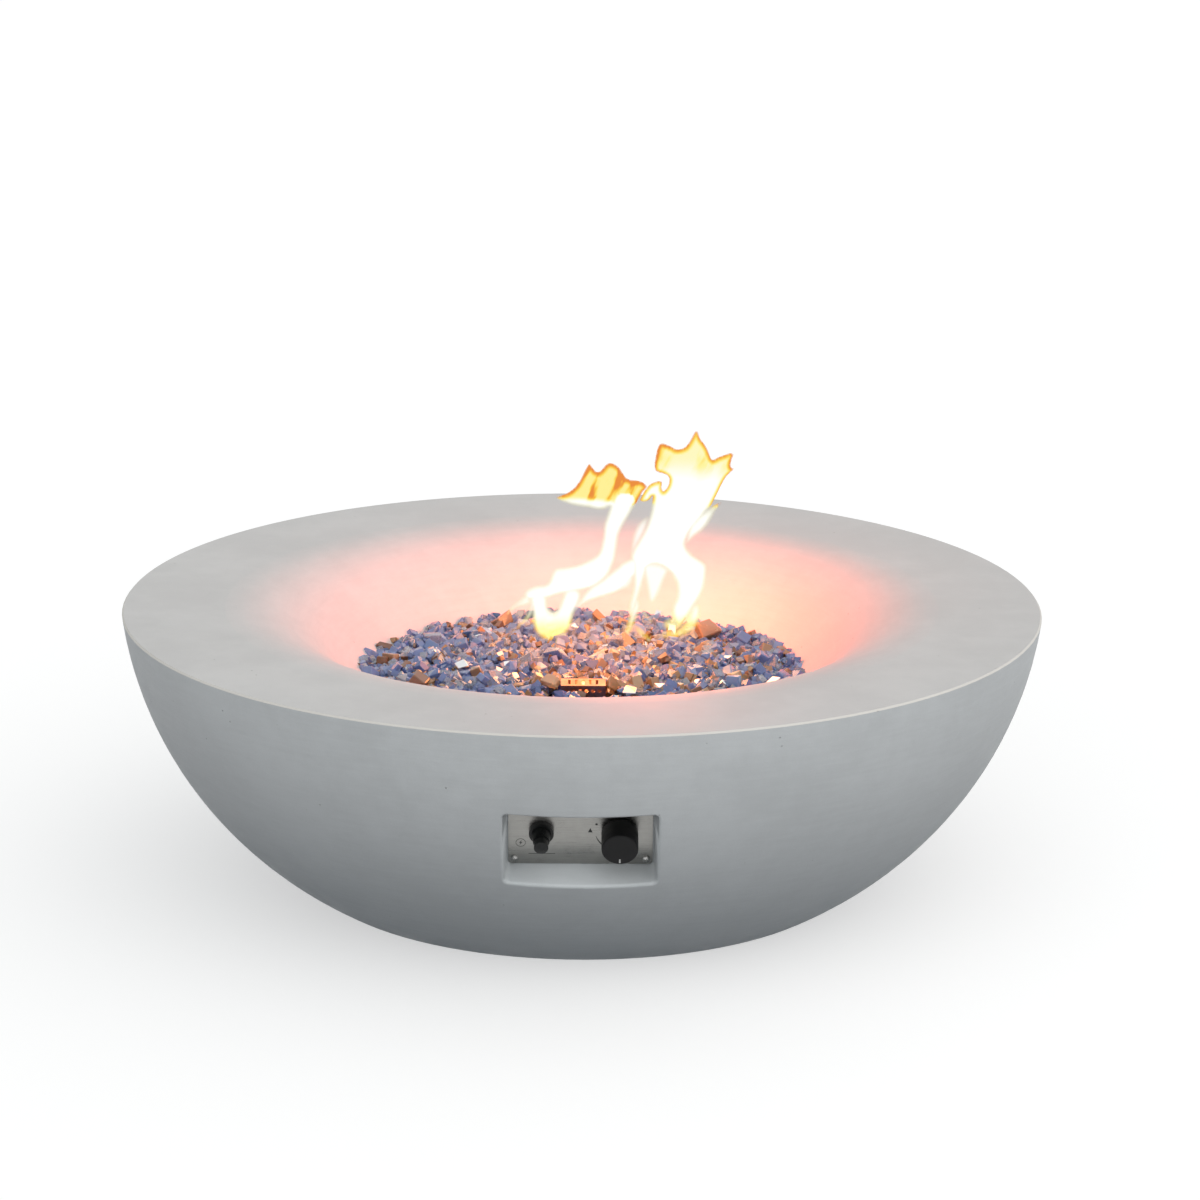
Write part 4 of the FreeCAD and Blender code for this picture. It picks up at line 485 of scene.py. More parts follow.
# Chips that stand out: x, y and size in millimetres, and the kind. They lie higher, with room around them.
LANDMARK_LIFT = 0.0015
LANDMARK_ROOM = 0.0075
LANDMARKS = (
    (-261, 34, 19, "slate"), (-247, -28, 20, "slate"), (-229, 44, 17, "copper"), (-181, 112, 18, "pale"),
    (-186, 160, 18, "slate"), (-99, 213, 22, "copper"), (-122, -35, 17, "copper"), (-137, 178, 14, "copper"),
    (-122, 120, 13, "mirror"), (-142, -15, 15, "mirror"), (-80, -47, 12, "mirror"), (-189, 5, 16, "pale"),
    (-191, -70, 19, "copper"), (-153, -90, 14, "pale"), (177, -75, 18, "cobalt"), (160, -58, 15, "pale"),
    (56, -118, 15, "mirror"), (83, -120, 12, "cobalt"), (224, -53, 16, "mirror"), (150, 140, 26, "copper"),
    (22, 206, 18, "copper"), (202, 36, 15, "copper"), (164, 172, 17, "slate"), (192, 132, 19, "slate"),
    (97, 226, 12, "mirror"), (109, 171, 13, "mirror"), (-36, -86, 17, "amber"), (-52, -78, 14, "amber"),
    (36, -84, 16, "amber"), (64, -76, 17, "amber"), (84, -70, 14, "amber"),
)


def chip_shape(draw, dulled):
    """Corners and triangles of one broken lump about 1 across."""
    form = bmesh.new()
    size = (1.0, draw.uniform(0.70, 1.0), draw.uniform(0.52, 0.92))
    for x in (-0.5, 0.5):
        for y in (-0.5, 0.5):
            for z in (-0.5, 0.5):
                jitter = draw.uniform(-CHIP_CORNER_JITTER, CHIP_CORNER_JITTER, 3)
                form.verts.new([(c + j) * s for c, j, s in zip((x, y, z), jitter, size)])
    for _ in range(CHIP_EXTRA_CORNERS):
        spot = draw.normal(0, 1, 3)
        spot *= draw.uniform(0.50, 0.66) / np.linalg.norm(spot)
        form.verts.new([c * s for c, s in zip(spot, size)])
    hull = bmesh.ops.convex_hull(form, input=form.verts)
    inner = [v for v in hull["geom_interior"] if isinstance(v, bmesh.types.BMVert)]
    bmesh.ops.delete(form, geom=inner, context="VERTS")
    bmesh.ops.dissolve_limit(form, angle_limit=CHIP_FLAT_ANGLE, verts=form.verts, edges=form.edges)
    if dulled:
        cut = {"offset": CHIP_DULLING, "segments": 1, "affect": "EDGES", "clamp_overlap": True}
        bmesh.ops.bevel(form, geom=form.edges[:], **cut)
    bmesh.ops.triangulate(form, faces=form.faces[:])
    bmesh.ops.recalc_face_normals(form, faces=form.faces[:])
    form.verts.ensure_lookup_table()
    corners = np.array([v.co for v in form.verts])
    triangles = np.array([[v.index for v in f.verts] for f in form.faces])
    form.free()
    return corners, triangles


def turns(draw, count):
    """Random rotation matrices."""
    q = draw.normal(0, 1, (count, 4))
    q /= np.linalg.norm(q, axis=1)[:, None]
    w, x, y, z = q.T
    rows = [
        [1 - 2 * (y * y + z * z), 2 * (x * y - z * w), 2 * (x * z + y * w)],
        [2 * (x * y + z * w), 1 - 2 * (x * x + z * z), 2 * (y * z - x * w)],
        [2 * (x * z - y * w), 2 * (y * z + x * w), 1 - 2 * (x * x + y * y)],
    ]
    return np.moveaxis(np.array(rows), 2, 0)


def ease(low, high, given):
    """Smooth step from 0 at low to 1 at high."""
    share = np.clip((given - low) / (high - low), 0, 1)
    return share * share * (3 - 2 * share)


def bed_surface():
    """Height of the heaped glass at any place over the bed, and of the slope beyond it."""
    mesh = frame["nodes"]["fire_glass_bed"].data
    tree = BVHTree.FromPolygons([v.co for v in mesh.vertices], [p.vertices for p in mesh.polygons])

    def height(x, y):
        radius = math.hypot(x, y)
        sink = EDGE_SINK * ease(*SINK_RADII, radius)
        if radius < BED_RADIUS - MILLIMETRE:
            found = tree.ray_cast(Vector((x, y, RIM_TOP)), Vector((0, 0, -1)))[0]
            if found is not None and found.z > BED_FLOOR:
                return found.z - sink
            return BED_EDGE - sink
        return BED_EDGE + (radius - BED_RADIUS) * math.tan(SLOPE) - sink

    return height


def near_guard(x, y, depth):
    """Whether a place is the guard's own, or hides its front face."""
    across = (x > GUARD_LOW.x - GUARD_MARGIN) & (x < GUARD_HIGH.x + GUARD_MARGIN)
    top_layer = depth == CHIP_LAYERS[-1][0]
    front = GUARD_LOW.y - GUARD_MARGIN * (GUARD_FRONT if top_layer else 1.0)
    return across & (y > front) & (y < GUARD_HIGH.y + GUARD_MARGIN)


def layer_places(draw, height, depth, scatter):
    """Centres of one layer: a jittered triangular grid over the bed, without the guard's place."""
    steps = int(BED_RADIUS / CHIP_SPACING) + 2
    column, row = np.meshgrid(np.arange(-steps, steps + 1), np.arange(-steps, steps + 1))
    x = (column + 0.5 * (row % 2)).ravel() * CHIP_SPACING
    y = row.ravel() * CHIP_SPACING * math.sqrt(3) / 2
    x = x + draw.uniform(-0.45, 0.45, x.size) * CHIP_SPACING
    y = y + draw.uniform(-0.45, 0.45, y.size) * CHIP_SPACING
    keep = (np.hypot(x, y) < BED_RADIUS + depth / math.tan(SLOPE)) & ~near_guard(x, y, depth)
    x, y = x[keep], y[keep]
    z = np.array([height(a, b) for a, b in zip(x, y)]) + depth + draw.normal(0, scatter, x.size)
    return np.stack([x, y, z], axis=1)


def stray_places(draw, height):
    """Centres of chips that lie up the slope around the bed's edge."""
    around = draw.uniform(0, 2 * math.pi, STRAY_CHIPS)
    radius = BED_RADIUS - STRAY_START + np.abs(draw.normal(0, STRAY_RISE, STRAY_CHIPS))
    x, y = radius * np.cos(around), radius * np.sin(around)
    z = np.array([height(a, b) for a, b in zip(x, y)]) + STRAY_LIFT
    return np.stack([x, y, z], axis=1)


def chip_mesh(name, fine, coarse, draw, places, sizes, tones):
    """One mesh of many flat-shaded chips, each with its own tone."""
    corners, triangles, tone = [], [], []
    start = 0
    for place, size, turn, shade in zip(places, sizes, turns(draw, len(places)), tones):
        shapes = fine if size > LARGE_CHIP else coarse
        points, faces = shapes[draw.randint(len(shapes))]
        stretch = draw.uniform(0.85, 1.15, 3)
        corners.append((points * stretch * size) @ turn.T + place)
        triangles.append(faces + start)
        tone.append(np.full(len(points), shade))
        start += len(points)
    mesh = bpy.data.meshes.new(name)
    mesh.from_pydata(np.concatenate(corners), [], np.concatenate(triangles))
    shades = mesh.attributes.new("tone", "FLOAT", "POINT")
    shades.data.foreach_set("value", np.concatenate(tone).astype(np.float32))
    mesh.shade_flat()
    return mesh


def glass_bed(material):
    """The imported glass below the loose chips: a low lumpy disc."""
    form = bmesh.new()
    previous = None
    level = LEDGE + PACKED_HEIGHT
    widest = LEDGE_RADIUS + PACKED_HEIGHT / math.tan(SLOPE) - PACKED_GAP
    centre = form.verts.new((0, 0, level))
    for ring in range(1, PACKED_RINGS + 1):
        radius = widest * ring / PACKED_RINGS
        current = []
        for step in range(PACKED_AROUND):
            angle = 2 * math.pi * step / PACKED_AROUND
            x, y = radius * math.cos(angle), radius * math.sin(angle)
            lump = PACKED_LUMP * noise.noise(Vector((x, y, 0)) * PACKED_LUMP_SCALE)
            current.append(form.verts.new((x, y, level + lump)))
        for step in range(PACKED_AROUND):
            beside = (step + 1) % PACKED_AROUND
            if previous is None:
                form.faces.new((centre, current[step], current[beside]))
            else:
                form.faces.new((previous[step], current[step], current[beside], previous[beside]))
        previous = current
    bottom = LEDGE + 0.3 * MILLIMETRE
    foot = [form.verts.new((v.co.x * PACKED_TAPER, v.co.y * PACKED_TAPER, bottom)) for v in previous]
    for step in range(PACKED_AROUND):
        beside = (step + 1) % PACKED_AROUND
        form.faces.new((previous[step], foot[step], foot[beside], previous[beside]))
    form.faces.new(list(reversed(foot)))
    bmesh.ops.recalc_face_normals(form, faces=form.faces[:])
    mesh = mesh_of("fire_glass_packed", form)
    # Dark tone: painted shade for the gaps between the chips.
    tone = mesh.attributes.new("tone", "FLOAT", "POINT")
    tone.data.foreach_set("value", np.full(len(mesh.vertices), PACKED_SHADE_TONE, np.float32))
    made = piece("fire_glass_packed", mesh, material, "bowl")
    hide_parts("fire_glass_bed")
    return made


def fire_glass(material):
    """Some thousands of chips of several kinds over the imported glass."""
    made = [glass_bed(material)]
    draw = np.random.RandomState(CHIP_SEED)
    fine = [chip_shape(draw, True) for _ in range(CHIP_SHAPES)]
    coarse = [chip_shape(draw, False) for _ in range(CHIP_SHAPES)]
    height = bed_surface()
    marks = [(x * MILLIMETRE, y * MILLIMETRE) for x, y, _, _ in LANDMARKS]
    landmarks = np.array([(x, y, height(x, y) + LANDMARK_LIFT) for x, y in marks])
    places = [layer_places(draw, height, depth, scatter) for depth, scatter in CHIP_LAYERS]
    places = np.concatenate([*places, stray_places(draw, height)])
    nearest = np.min([np.linalg.norm(places - mark, axis=1) for mark in landmarks], axis=0)
    places = places[nearest > LANDMARK_ROOM]
    small = draw.uniform(0, 1, len(places)) < SMALL_SHARE
    middle = np.where(small, SMALL_SIZE, OTHER_SIZE)
    sizes = np.clip(middle * np.exp(draw.normal(0, SIZE_SPREAD, len(places))), *SIZE_LIMITS)
    names = list(CHIP_KINDS)
    shares = np.array([CHIP_KINDS[name][0] for name in names])
    kinds = draw.choice(len(names), len(places), p=shares / shares.sum())
    # Painted flame light: near the flame some slate chips become amber, besides the amber chips found all over.
    x, y = places[:, 0] - FLAME_GLOW_PATCH[0], places[:, 1] - FLAME_GLOW_PATCH[1]
    near = np.hypot(x, y) < FLAME_GLOW_REACH * draw.uniform(0.5, 1.2, len(places))
    glow_painted_chips = near & (kinds == names.index("slate"))
    kinds[glow_painted_chips & (draw.uniform(0, 1, len(places)) < FLAME_GLOW_SHARE)] = names.index("amber")
    places = np.concatenate([places, landmarks])
    sizes = np.concatenate([sizes, [size * MILLIMETRE for _, _, size, _ in LANDMARKS]])
    kinds = np.concatenate([kinds, [names.index(kind) for _, _, _, kind in LANDMARKS]])
    for index, name in enumerate(names):
        _, roughness, clearness, metal, stops = CHIP_KINDS[name]
        own = kinds == index
        tones = draw.uniform(0, 1, int(own.sum()))
        mesh = chip_mesh(f"fire_glass_{name}", fine, coarse, draw, places[own], sizes[own], tones)
        finish = chip_glass(f"glass_{name}", stops, roughness, clearness, metal)
        made.append(piece(f"fire_glass_{name}", mesh, finish, "bowl"))
    return made


# ---- Marks on the control panel ----

INK_THICKNESS = 0.00012
# Dial beside the knob. Angles are in degrees from the right, and the other sizes in metres.
DIAL_RADIUS = 0.0268
STOP_CORNERS = ((-0.0345, -0.0022), (-0.0295, -0.0022), (-0.0320, 0.0036))
TICK_ANGLES = (158, 163)
TICK_WIDTH = 0.0024
WEDGE_ANGLES = (196, 262)
WEDGE_WIDTHS = (0.0005, 0.0035)
# Sign beside the igniter, from the igniter's middle: a ring in two halves, a spark in it and a rule below.
SIGN_PLACE = (-0.0225, -0.0168)
SIGN_RADIUS = 0.0052
SIGN_WIDTH = 0.0006
SPARK_CORNERS = (
    (0.0012, 0.0036), (-0.0018, -0.0004), (-0.0003, -0.0004), (-0.0012, -0.0036), (0.0018, 0.0006),
    (0.0002, 0.0006),
)
RULE_CORNERS = ((-0.0140, -0.0322), (0.0150, -0.0322), (0.0150, -0.0315), (-0.0140, -0.0315))


def ink_mesh(name, outlines):
    """Flat printed shapes on the panel's face, each an outline in the panel's own plane."""
    form = bmesh.new()
    for outline in outlines:
        low = [form.verts.new((x, y, 0)) for x, y in outline]
        high = [form.verts.new((x, y, INK_THICKNESS)) for x, y in outline]
        form.faces.new(list(reversed(low)))
        form.faces.new(high)
        for step in range(len(outline)):
            beside = (step + 1) % len(outline)
            form.faces.new((low[step], low[beside], high[beside], high[step]))
    bmesh.ops.recalc_face_normals(form, faces=form.faces[:])
    form.transform(PANEL_FRAME)
    return mesh_of(name, form)


def arc_band(middle, radius, first, last, width_of, steps=24):
    """Outline of a band along an arc, with a width that depends on the share of the way along it."""
    inner, outer = [], []
    for step in range(steps + 1):
        share = step / steps
        angle = math.radians(first + (last - first) * share)
        for side, sign in ((inner, -0.5), (outer, 0.5)):
            reach = radius + sign * width_of(share)
            side.append((middle[0] + reach * math.cos(angle), middle[1] + reach * math.sin(angle)))
    return outer + list(reversed(inner))


def moved(corners, place):
    return [(place[0] + x, place[1] + y) for x, y in corners]


def panel_marks():
    """A generic dial scale beside the knob and a plain spark sign beside the igniter."""
    ink = moulded("black_ink", (0.012, 0.012, 0.012), 0.55)
    grey_ink = moulded("grey_ink", (0.045, 0.045, 0.045), 0.55)
    knob = (KNOB_X, 0.0)
    thin, thick = WEDGE_WIDTHS
    stop = moved(STOP_CORNERS, knob)
    tick = arc_band(knob, DIAL_RADIUS, *TICK_ANGLES, lambda share: TICK_WIDTH, 4)
    wedge = arc_band(knob, DIAL_RADIUS, *WEDGE_ANGLES, lambda share: thin + (thick - thin) * share)
    piece("dial_marks", ink_mesh("dial_marks", [stop, tick, wedge]), ink, "bowl")
    igniter = (-KNOB_X, 0.0)
    centre = moved([SIGN_PLACE], igniter)[0]
    halves = [
        arc_band(centre, SIGN_RADIUS, start, start + 176, lambda share: SIGN_WIDTH, 20) for start in (2, 182)
    ]
    spark = moved(SPARK_CORNERS, centre)
    rule = moved(RULE_CORNERS, igniter)
    sign = ink_mesh("igniter_sign", [*halves, spark, rule])
    piece("igniter_sign", sign, grey_ink, "bowl")


# ---- Flame: burning gas, staged and not part of the object ----

FLAME_Y = 0.120
FLAME_STEP = 0.0021
FLAME_THICKNESS = 0.0022
FLAME_RIDGES = 0.0016
# Height above which the tongues stand against the pale background with sharp edges: at the left lobe's
# place, its fall to the right, that place, and the heights around it over which they turn sharp.
SKY_LINE = 0.431
SKY_LINE_FALL = 0.06
SKY_LINE_PLACE = -0.030
SKY_LINE_BLUR = (-0.006, 0.003)
# Depth inside the outline at which a tongue is solid, and at which it is hottest, above and below that line.
SOLID_DEPTHS = (0.0008, 0.0080)
HOT_DEPTHS = (0.0058, 0.0075)
# Heat below the line: at the edge, and what its middle adds to it.
LOW_HEAT = (0.64, 0.36)
# Heights between which the foot over the glass grows cool and thin, and its loss of heat, light and cover.
FOOT_HEIGHTS = (0.292, 0.256)
FOOT_COOLING = 0.64
FOOT_THINNING = 0.3
FOOT_CLEARNESS = 0.45
# Heights between which the crown grows warm in colour, how warm a tongue is all over, and its loss of heat.
CROWN_HEIGHTS = (0.440, 0.478)
CROWN_WARMTH = 0.9
CROWN_COOLING = 0.30
LEAST_WARMTH = 0.15
GAS_COLOURS = (
    (0.0, (0.84, 0.28, 0.055)), (0.14, (0.93, 0.45, 0.06)), (0.32, (1.0, 0.72, 0.12)),
    (0.52, (1.0, 0.92, 0.36)), (0.72, (1.0, 0.98, 0.74)), (0.95, (1.1, 1.1, 1.06)),
)
# Outlines of the tongues as (x, z) in millimetres, in the upright plane at FLAME_Y. Each has its warmth
# from white to yellow-orange, and its cover from clear to solid.
TONGUES = (
    # Curled lobe on the left
    (1.0, 1.0, (
        (-32, 431), (-22, 434), (-14, 438), (-8, 443), (-3, 450), (1, 458), (5, 465), (8, 468), (11, 465),
        (15, 460), (19, 459), (23, 462), (27, 467), (32, 470), (38, 469), (43, 466), (47, 461), (51, 455),
        (56, 452), (64, 451), (71, 449), (76, 445), (77, 442), (73, 438), (69, 432), (66, 427), (60, 415),
        (50, 408), (38, 412), (33, 417), (27, 414), (18, 413), (8, 415), (-4, 417), (-14, 420), (-23, 424),
        (-29, 428),
    )),
    # Stem that carries the lobe, with its wide foot
    (0.1, 1.0, (
        (33, 424), (31, 416), (28, 406), (25, 396), (24, 386), (23, 376), (21, 365), (18, 357), (12, 351),
        (4, 346), (-6, 342), (-18, 340), (-30, 339), (-35, 336), (-38, 330), (-41, 322), (-46, 318),
        (-54, 317), (-62, 314), (-69, 309), (-71, 303), (-66, 297), (-50, 298), (-38, 301), (-28, 304),
        (-15, 305), (0, 307), (14, 311), (24, 318), (33, 329), (38, 342), (41, 352), (43, 366), (45, 382),
        (48, 391), (52, 400), (57, 409), (62, 419), (66, 431), (60, 440), (42, 440),
    )),
    # Trunk with its three tips, its nub and its right leg
    (0.4, 1.0, (
        (84, 431), (82, 418), (79, 406), (75, 395), (70, 385), (65, 376), (60, 367), (57, 357), (60, 345),
        (68, 335), (76, 338), (84, 344), (92, 343), (100, 338), (107, 331), (112, 321), (114, 310),
        (113, 299), (109, 289), (108, 278), (111, 267), (116, 261), (122, 262), (127, 270), (131, 277),
        (135, 286), (139, 294), (144, 304), (148, 314), (150, 324), (151, 336), (151, 346), (147, 351),
        (139, 356), (132, 361), (127, 367), (126, 374), (130, 384), (136, 393), (143, 402), (149, 411),
        (154, 419), (158, 427), (162, 435), (167, 445), (172, 453), (178, 459), (182, 462), (178, 465),
        (178, 471), (180, 477), (181, 480), (177, 482), (170, 480), (162, 477), (157, 474), (154, 475),
        (152, 480), (149, 487), (145, 493), (141, 498), (139, 503), (137, 508), (134, 506), (131, 500),
        (128, 494), (124, 488), (119, 485), (113, 484), (107, 487), (101, 490), (96, 492), (92, 491),
        (89, 485), (87, 476), (86, 468), (87, 461), (91, 458), (97, 456), (102, 453), (104, 449),
        (103, 443), (100, 438), (97, 436), (95, 440), (95, 447), (89, 448), (82, 446), (78, 443), (74, 438),
        (70, 431), (69, 427), (74, 425), (80, 427),
    )),
    # Slant from the trunk down to the left
    (0.1, 1.0, (
        (33, 333), (22, 322), (10, 313), (2, 304), (-3, 297), (-9, 288), (-14, 280), (-10, 279), (-4, 285),
        (3, 290), (10, 293), (20, 297), (30, 301), (41, 306), (50, 312), (57, 319), (62, 327), (68, 337),
        (66, 356), (50, 350), (41, 341),
    )),
    # Side tongue on the right
    (0.5, 0.85, (
        (124, 370), (132, 377), (138, 383), (145, 389), (152, 398), (157, 407), (161, 415), (167, 424),
        (160, 422), (153, 418), (145, 413), (136, 406), (126, 392),
    )),
    # Middle leg
    (0.3, 0.9, (
        (60, 352), (70, 356), (80, 350), (80, 340), (77, 330), (74, 318), (71, 306), (68, 296), (65, 286),
        (61, 277), (57, 269), (55, 273), (56, 282), (56, 292), (58, 302), (60, 312), (61, 324), (60, 336),
    )),
    # Legs on the left
    (0.5, 0.95, (
        (-66, 306), (-74, 300), (-82, 293), (-88, 287), (-92, 280), (-89, 278), (-84, 283), (-76, 288),
        (-68, 290), (-60, 296),
    )),
    (0.5, 0.9, (
        (-62, 300), (-66, 285), (-72, 275), (-80, 266), (-91, 256), (-86, 255), (-76, 262), (-68, 269),
        (-61, 277), (-57, 286), (-52, 300),
    )),
    (0.35, 1.0, (
        (-64, 304), (-62, 288), (-61, 272), (-58, 260), (-50, 252), (-38, 248), (-26, 250), (-17, 256),
        (-11, 266), (-9, 277), (-6, 285), (-2, 293), (0, 303), (-6, 311), (-20, 311), (-25, 300), (-29, 290),
        (-35, 286), (-40, 292), (-42, 304), (-50, 309),
    )),
    # Low flickers and thin veils
    (0.8, 0.75, (
        (143, 294), (145, 278), (141, 263), (131, 252), (114, 246), (97, 247), (88, 254), (99, 259),
        (113, 261), (122, 268), (128, 280), (134, 292),
    )),
    (0.8, 0.7, ((48, 258), (56, 251), (63, 260), (68, 276), (72, 294), (65, 304), (59, 288), (53, 271))),
    (0.9, 0.6, ((62, 268), (72, 266), (84, 256), (93, 246), (86, 241), (74, 247), (64, 257))),
    (0.8, 0.8, ((70, 289), (76, 286), (82, 278), (88, 270), (85, 268), (79, 273), (73, 281))),
    (0.8, 0.7, ((5, 268), (10, 262), (11, 250), (6, 249), (4, 258))),
    (0.5, 0.55, ((57, 356), (57, 370), (59, 384), (63, 395), (70, 404), (80, 408), (78, 392), (68, 372))),
    (0.4, 0.60, (
        (72, 346), (84, 350), (98, 346), (106, 338), (102, 326), (98, 314), (93, 302), (86, 294), (79, 298),
        (77, 312), (74, 328),
    )),
    (0.4, 0.55, ((38, 306), (50, 310), (60, 318), (64, 330), (62, 350), (50, 344), (42, 334), (36, 318))),
    (0.7, 0.6, ((98, 270), (110, 276), (124, 274), (122, 258), (108, 255), (98, 260))),
)


def rounded_outline(points, steps=3):
    """A closed smooth line through the points, in metres."""
    line = []
    for index in range(len(points)):
        a, b, c, d = (np.array(points[(index + k) % len(points)], float) for k in (-1, 0, 1, 2))
        for step in range(steps):
            t = step / steps
            bend = (2 * a - 5 * b + 4 * c - d) * t**2 + (3 * b - a - 3 * c + d) * t**3
            line.append(0.5 * MILLIMETRE * (2 * b + (c - a) * t + bend))
    return np.array(line)


def depth_in(outline, places):
    """Distance to the outline from each place inside it, and minus the distance from outside."""
    run = np.roll(outline, -1, axis=0) - outline
    offset = places[:, None, :] - outline
    share = np.clip((offset * run).sum(2) / (run**2).sum(1), 0, 1)
    gap = np.linalg.norm(offset - share[..., None] * run, axis=2).min(axis=1)
    above = outline[:, 1] > places[:, None, 1]
    crosses = above != np.roll(above, -1, axis=1)
    slant = np.where(run[:, 1] == 0, 1.0, run[:, 1])
    beyond = outline[:, 0] + offset[..., 1] * run[:, 0] / slant > places[:, None, 0]
    inside = (crosses & beyond).sum(axis=1) % 2 == 1
    return np.where(inside, gap, -gap)


def flame_sheet(outlines):
    """Corners and triangles of a flat sheet over the joined outlines."""
    corners, loops = [], []
    for outline in outlines:
        loops.append(list(range(len(corners), len(corners) + len(outline))))
        corners.extend(outline)
    reach = np.array(corners)
    low, high = reach.min(axis=0), reach.max(axis=0)
    column, row = np.meshgrid(*(np.arange(a, b, FLAME_STEP) for a, b in zip(low, high)))
    column = column + 0.5 * FLAME_STEP * (np.arange(column.shape[0])[:, None] % 2)
    grid = np.stack([column.ravel(), row.ravel()], axis=1)
    deepest = np.max([depth_in(outline, grid) for outline in outlines], axis=0)
    corners.extend(grid[deepest > 0.6 * FLAME_STEP])
    flat, _, faces, *_ = delaunay_2d_cdt([Vector(c) for c in corners], [], loops, 1, 1e-6, False)
    places = np.array(flat)
    middles = places[np.array(faces)].mean(axis=1)
    within = np.max([depth_in(outline, middles) for outline in outlines], axis=0) > 0
    return places, [list(face) for face, kept in zip(faces, within) if kept]


def flame_fields(places, depths):
    """Cover, heat and warmth of the gas at each place, and how much it hides what is behind it."""
    x, z = places.T
    line = SKY_LINE - SKY_LINE_FALL * (x - SKY_LINE_PLACE)
    sharp = ease(*SKY_LINE_BLUR, z - line)
    foot = ease(*FOOT_HEIGHTS, z)
    solid_depth, hot_depth = (a * sharp + b * (1 - sharp) for a, b in (SOLID_DEPTHS, HOT_DEPTHS))
    cover, heat, warmth = np.zeros((3, len(places)))
    for (warm, solid, _), depth in zip(TONGUES, depths):
        inside = depth > -1e-6
        own = solid * ease(-0.0002, solid_depth, depth) * (1 - FOOT_THINNING * foot)
        glow = np.clip(depth / hot_depth, 0, 1)
        cool = np.maximum(ease(*CROWN_HEIGHTS, z), warm > CROWN_WARMTH)
        high_heat = glow * (1 - CROWN_COOLING * cool)
        low_heat = LOW_HEAT[0] + LOW_HEAT[1] * glow
        glow = high_heat * sharp + low_heat * (1 - sharp) - FOOT_COOLING * foot * (1 - 0.1 * glow)
        better = inside & (own * (0.3 + glow) > cover * (0.3 + heat))
        cover = np.where(inside, np.maximum(cover, own), cover)
        heat = np.where(better, glow, heat)
        warmth = np.where(better, warm * np.maximum(np.minimum(sharp, cool), LEAST_WARMTH), warmth)
    return {"cover": cover, "hides": cover * (1 - FOOT_CLEARNESS * foot), "core": heat, "warmth": warmth}


def outer_corners(faces):
    """Corners on the sheet's edge, where a side belongs to one triangle only."""
    uses = {}
    for face in faces:
        for first, second in zip(face, face[1:] + face[:1]):
            side = (min(first, second), max(first, second))
            uses[side] = uses.get(side, 0) + 1
    return {index for side, count in uses.items() if count == 1 for index in side}


def flame():
    """One closed body over the joined outlines, thickest far from its edge."""
    outlines = [rounded_outline(points) for _, _, points in TONGUES]
    places, faces = flame_sheet(outlines)
    depths = [depth_in(outline, places) for outline in outlines]
    edge = outer_corners(faces)
    x, z = places.T
    thick = FLAME_THICKNESS * np.sqrt(np.maximum(np.max(depths, axis=0), 0) / MILLIMETRE)
    sway = FLAME_Y + 0.010 * np.sin(26 * z + 9 * x) + 0.006 * np.sin(60 * x + 1.0)
    ridge = np.array([noise.noise(Vector((95 * a + 35 * b, 5.0, 24 * b))) for a, b in places])
    ridge = FLAME_RIDGES * ridge * np.minimum(1, thick * 250)
    front = np.stack([x, sway - thick - ridge, z], axis=1)
    inner = [index for index in range(len(front)) if index not in edge]
    back = np.stack([x, sway + thick, z], axis=1)[inner]
    back_of = {index: index for index in edge}
    back_of.update({index: len(front) + count for count, index in enumerate(inner)})
    behind = [[back_of[index] for index in reversed(face)] for face in faces]
    mesh = bpy.data.meshes.new("flame")
    mesh.from_pydata(np.concatenate([front, back]), [], faces + behind)
    for name, given in flame_fields(places, depths).items():
        field = mesh.attributes.new(name, "FLOAT", "POINT")
        field.data.foreach_set("value", np.concatenate([given, given[inner]]).astype(np.float32))
    mesh.polygons.foreach_set("use_smooth", [True] * len(mesh.polygons))
    made = add_object("flame", mesh, burning_gas())
    made.visible_shadow = False
    made.visible_diffuse = False


def burning_gas():
    """Light that goes from orange at the edge through yellow to white, with streaks along the flow."""
    made, tree = new_material("burning_gas")
    heat, warmth = attribute_of(tree, "core"), attribute_of(tree, "warmth")
    source = add(tree, "ShaderNodeTexCoord").outputs["Object"]
    lean = {"Vector": source, "Rotation": (0, math.radians(-28), 0)}
    along = {"Vector": add(tree, "ShaderNodeMapping", lean).outputs[0], "Scale": (1, 0.3, 0.28)}
    streaks = noise_of(tree, add(tree, "ShaderNodeMapping", along).outputs[0], 62.0, 3.0, 0.45)
    loss = maths(tree, "MULTIPLY", remap(tree, streaks, 0.46, 0.66), warmth)
    colour = ramp_of(tree, sum_of(tree, (heat, 1.0), (loss, -0.62), (warmth, -0.22)), GAS_COLOURS)
    light = add(tree, "ShaderNodeEmission", {"Color": colour, "Strength": attribute_of(tree, "cover")})
    through = maths(tree, "SUBTRACT", 1.0, attribute_of(tree, "hides"))
    clear = add(tree, "ShaderNodeBsdfTransparent", {"Color": through})
    mixed = add(tree, "ShaderNodeAddShader", {0: light.outputs[0], 1: clear.outputs[0]})
    add(tree, "ShaderNodeOutputMaterial", {"Surface": mixed.outputs[0]})
    return made


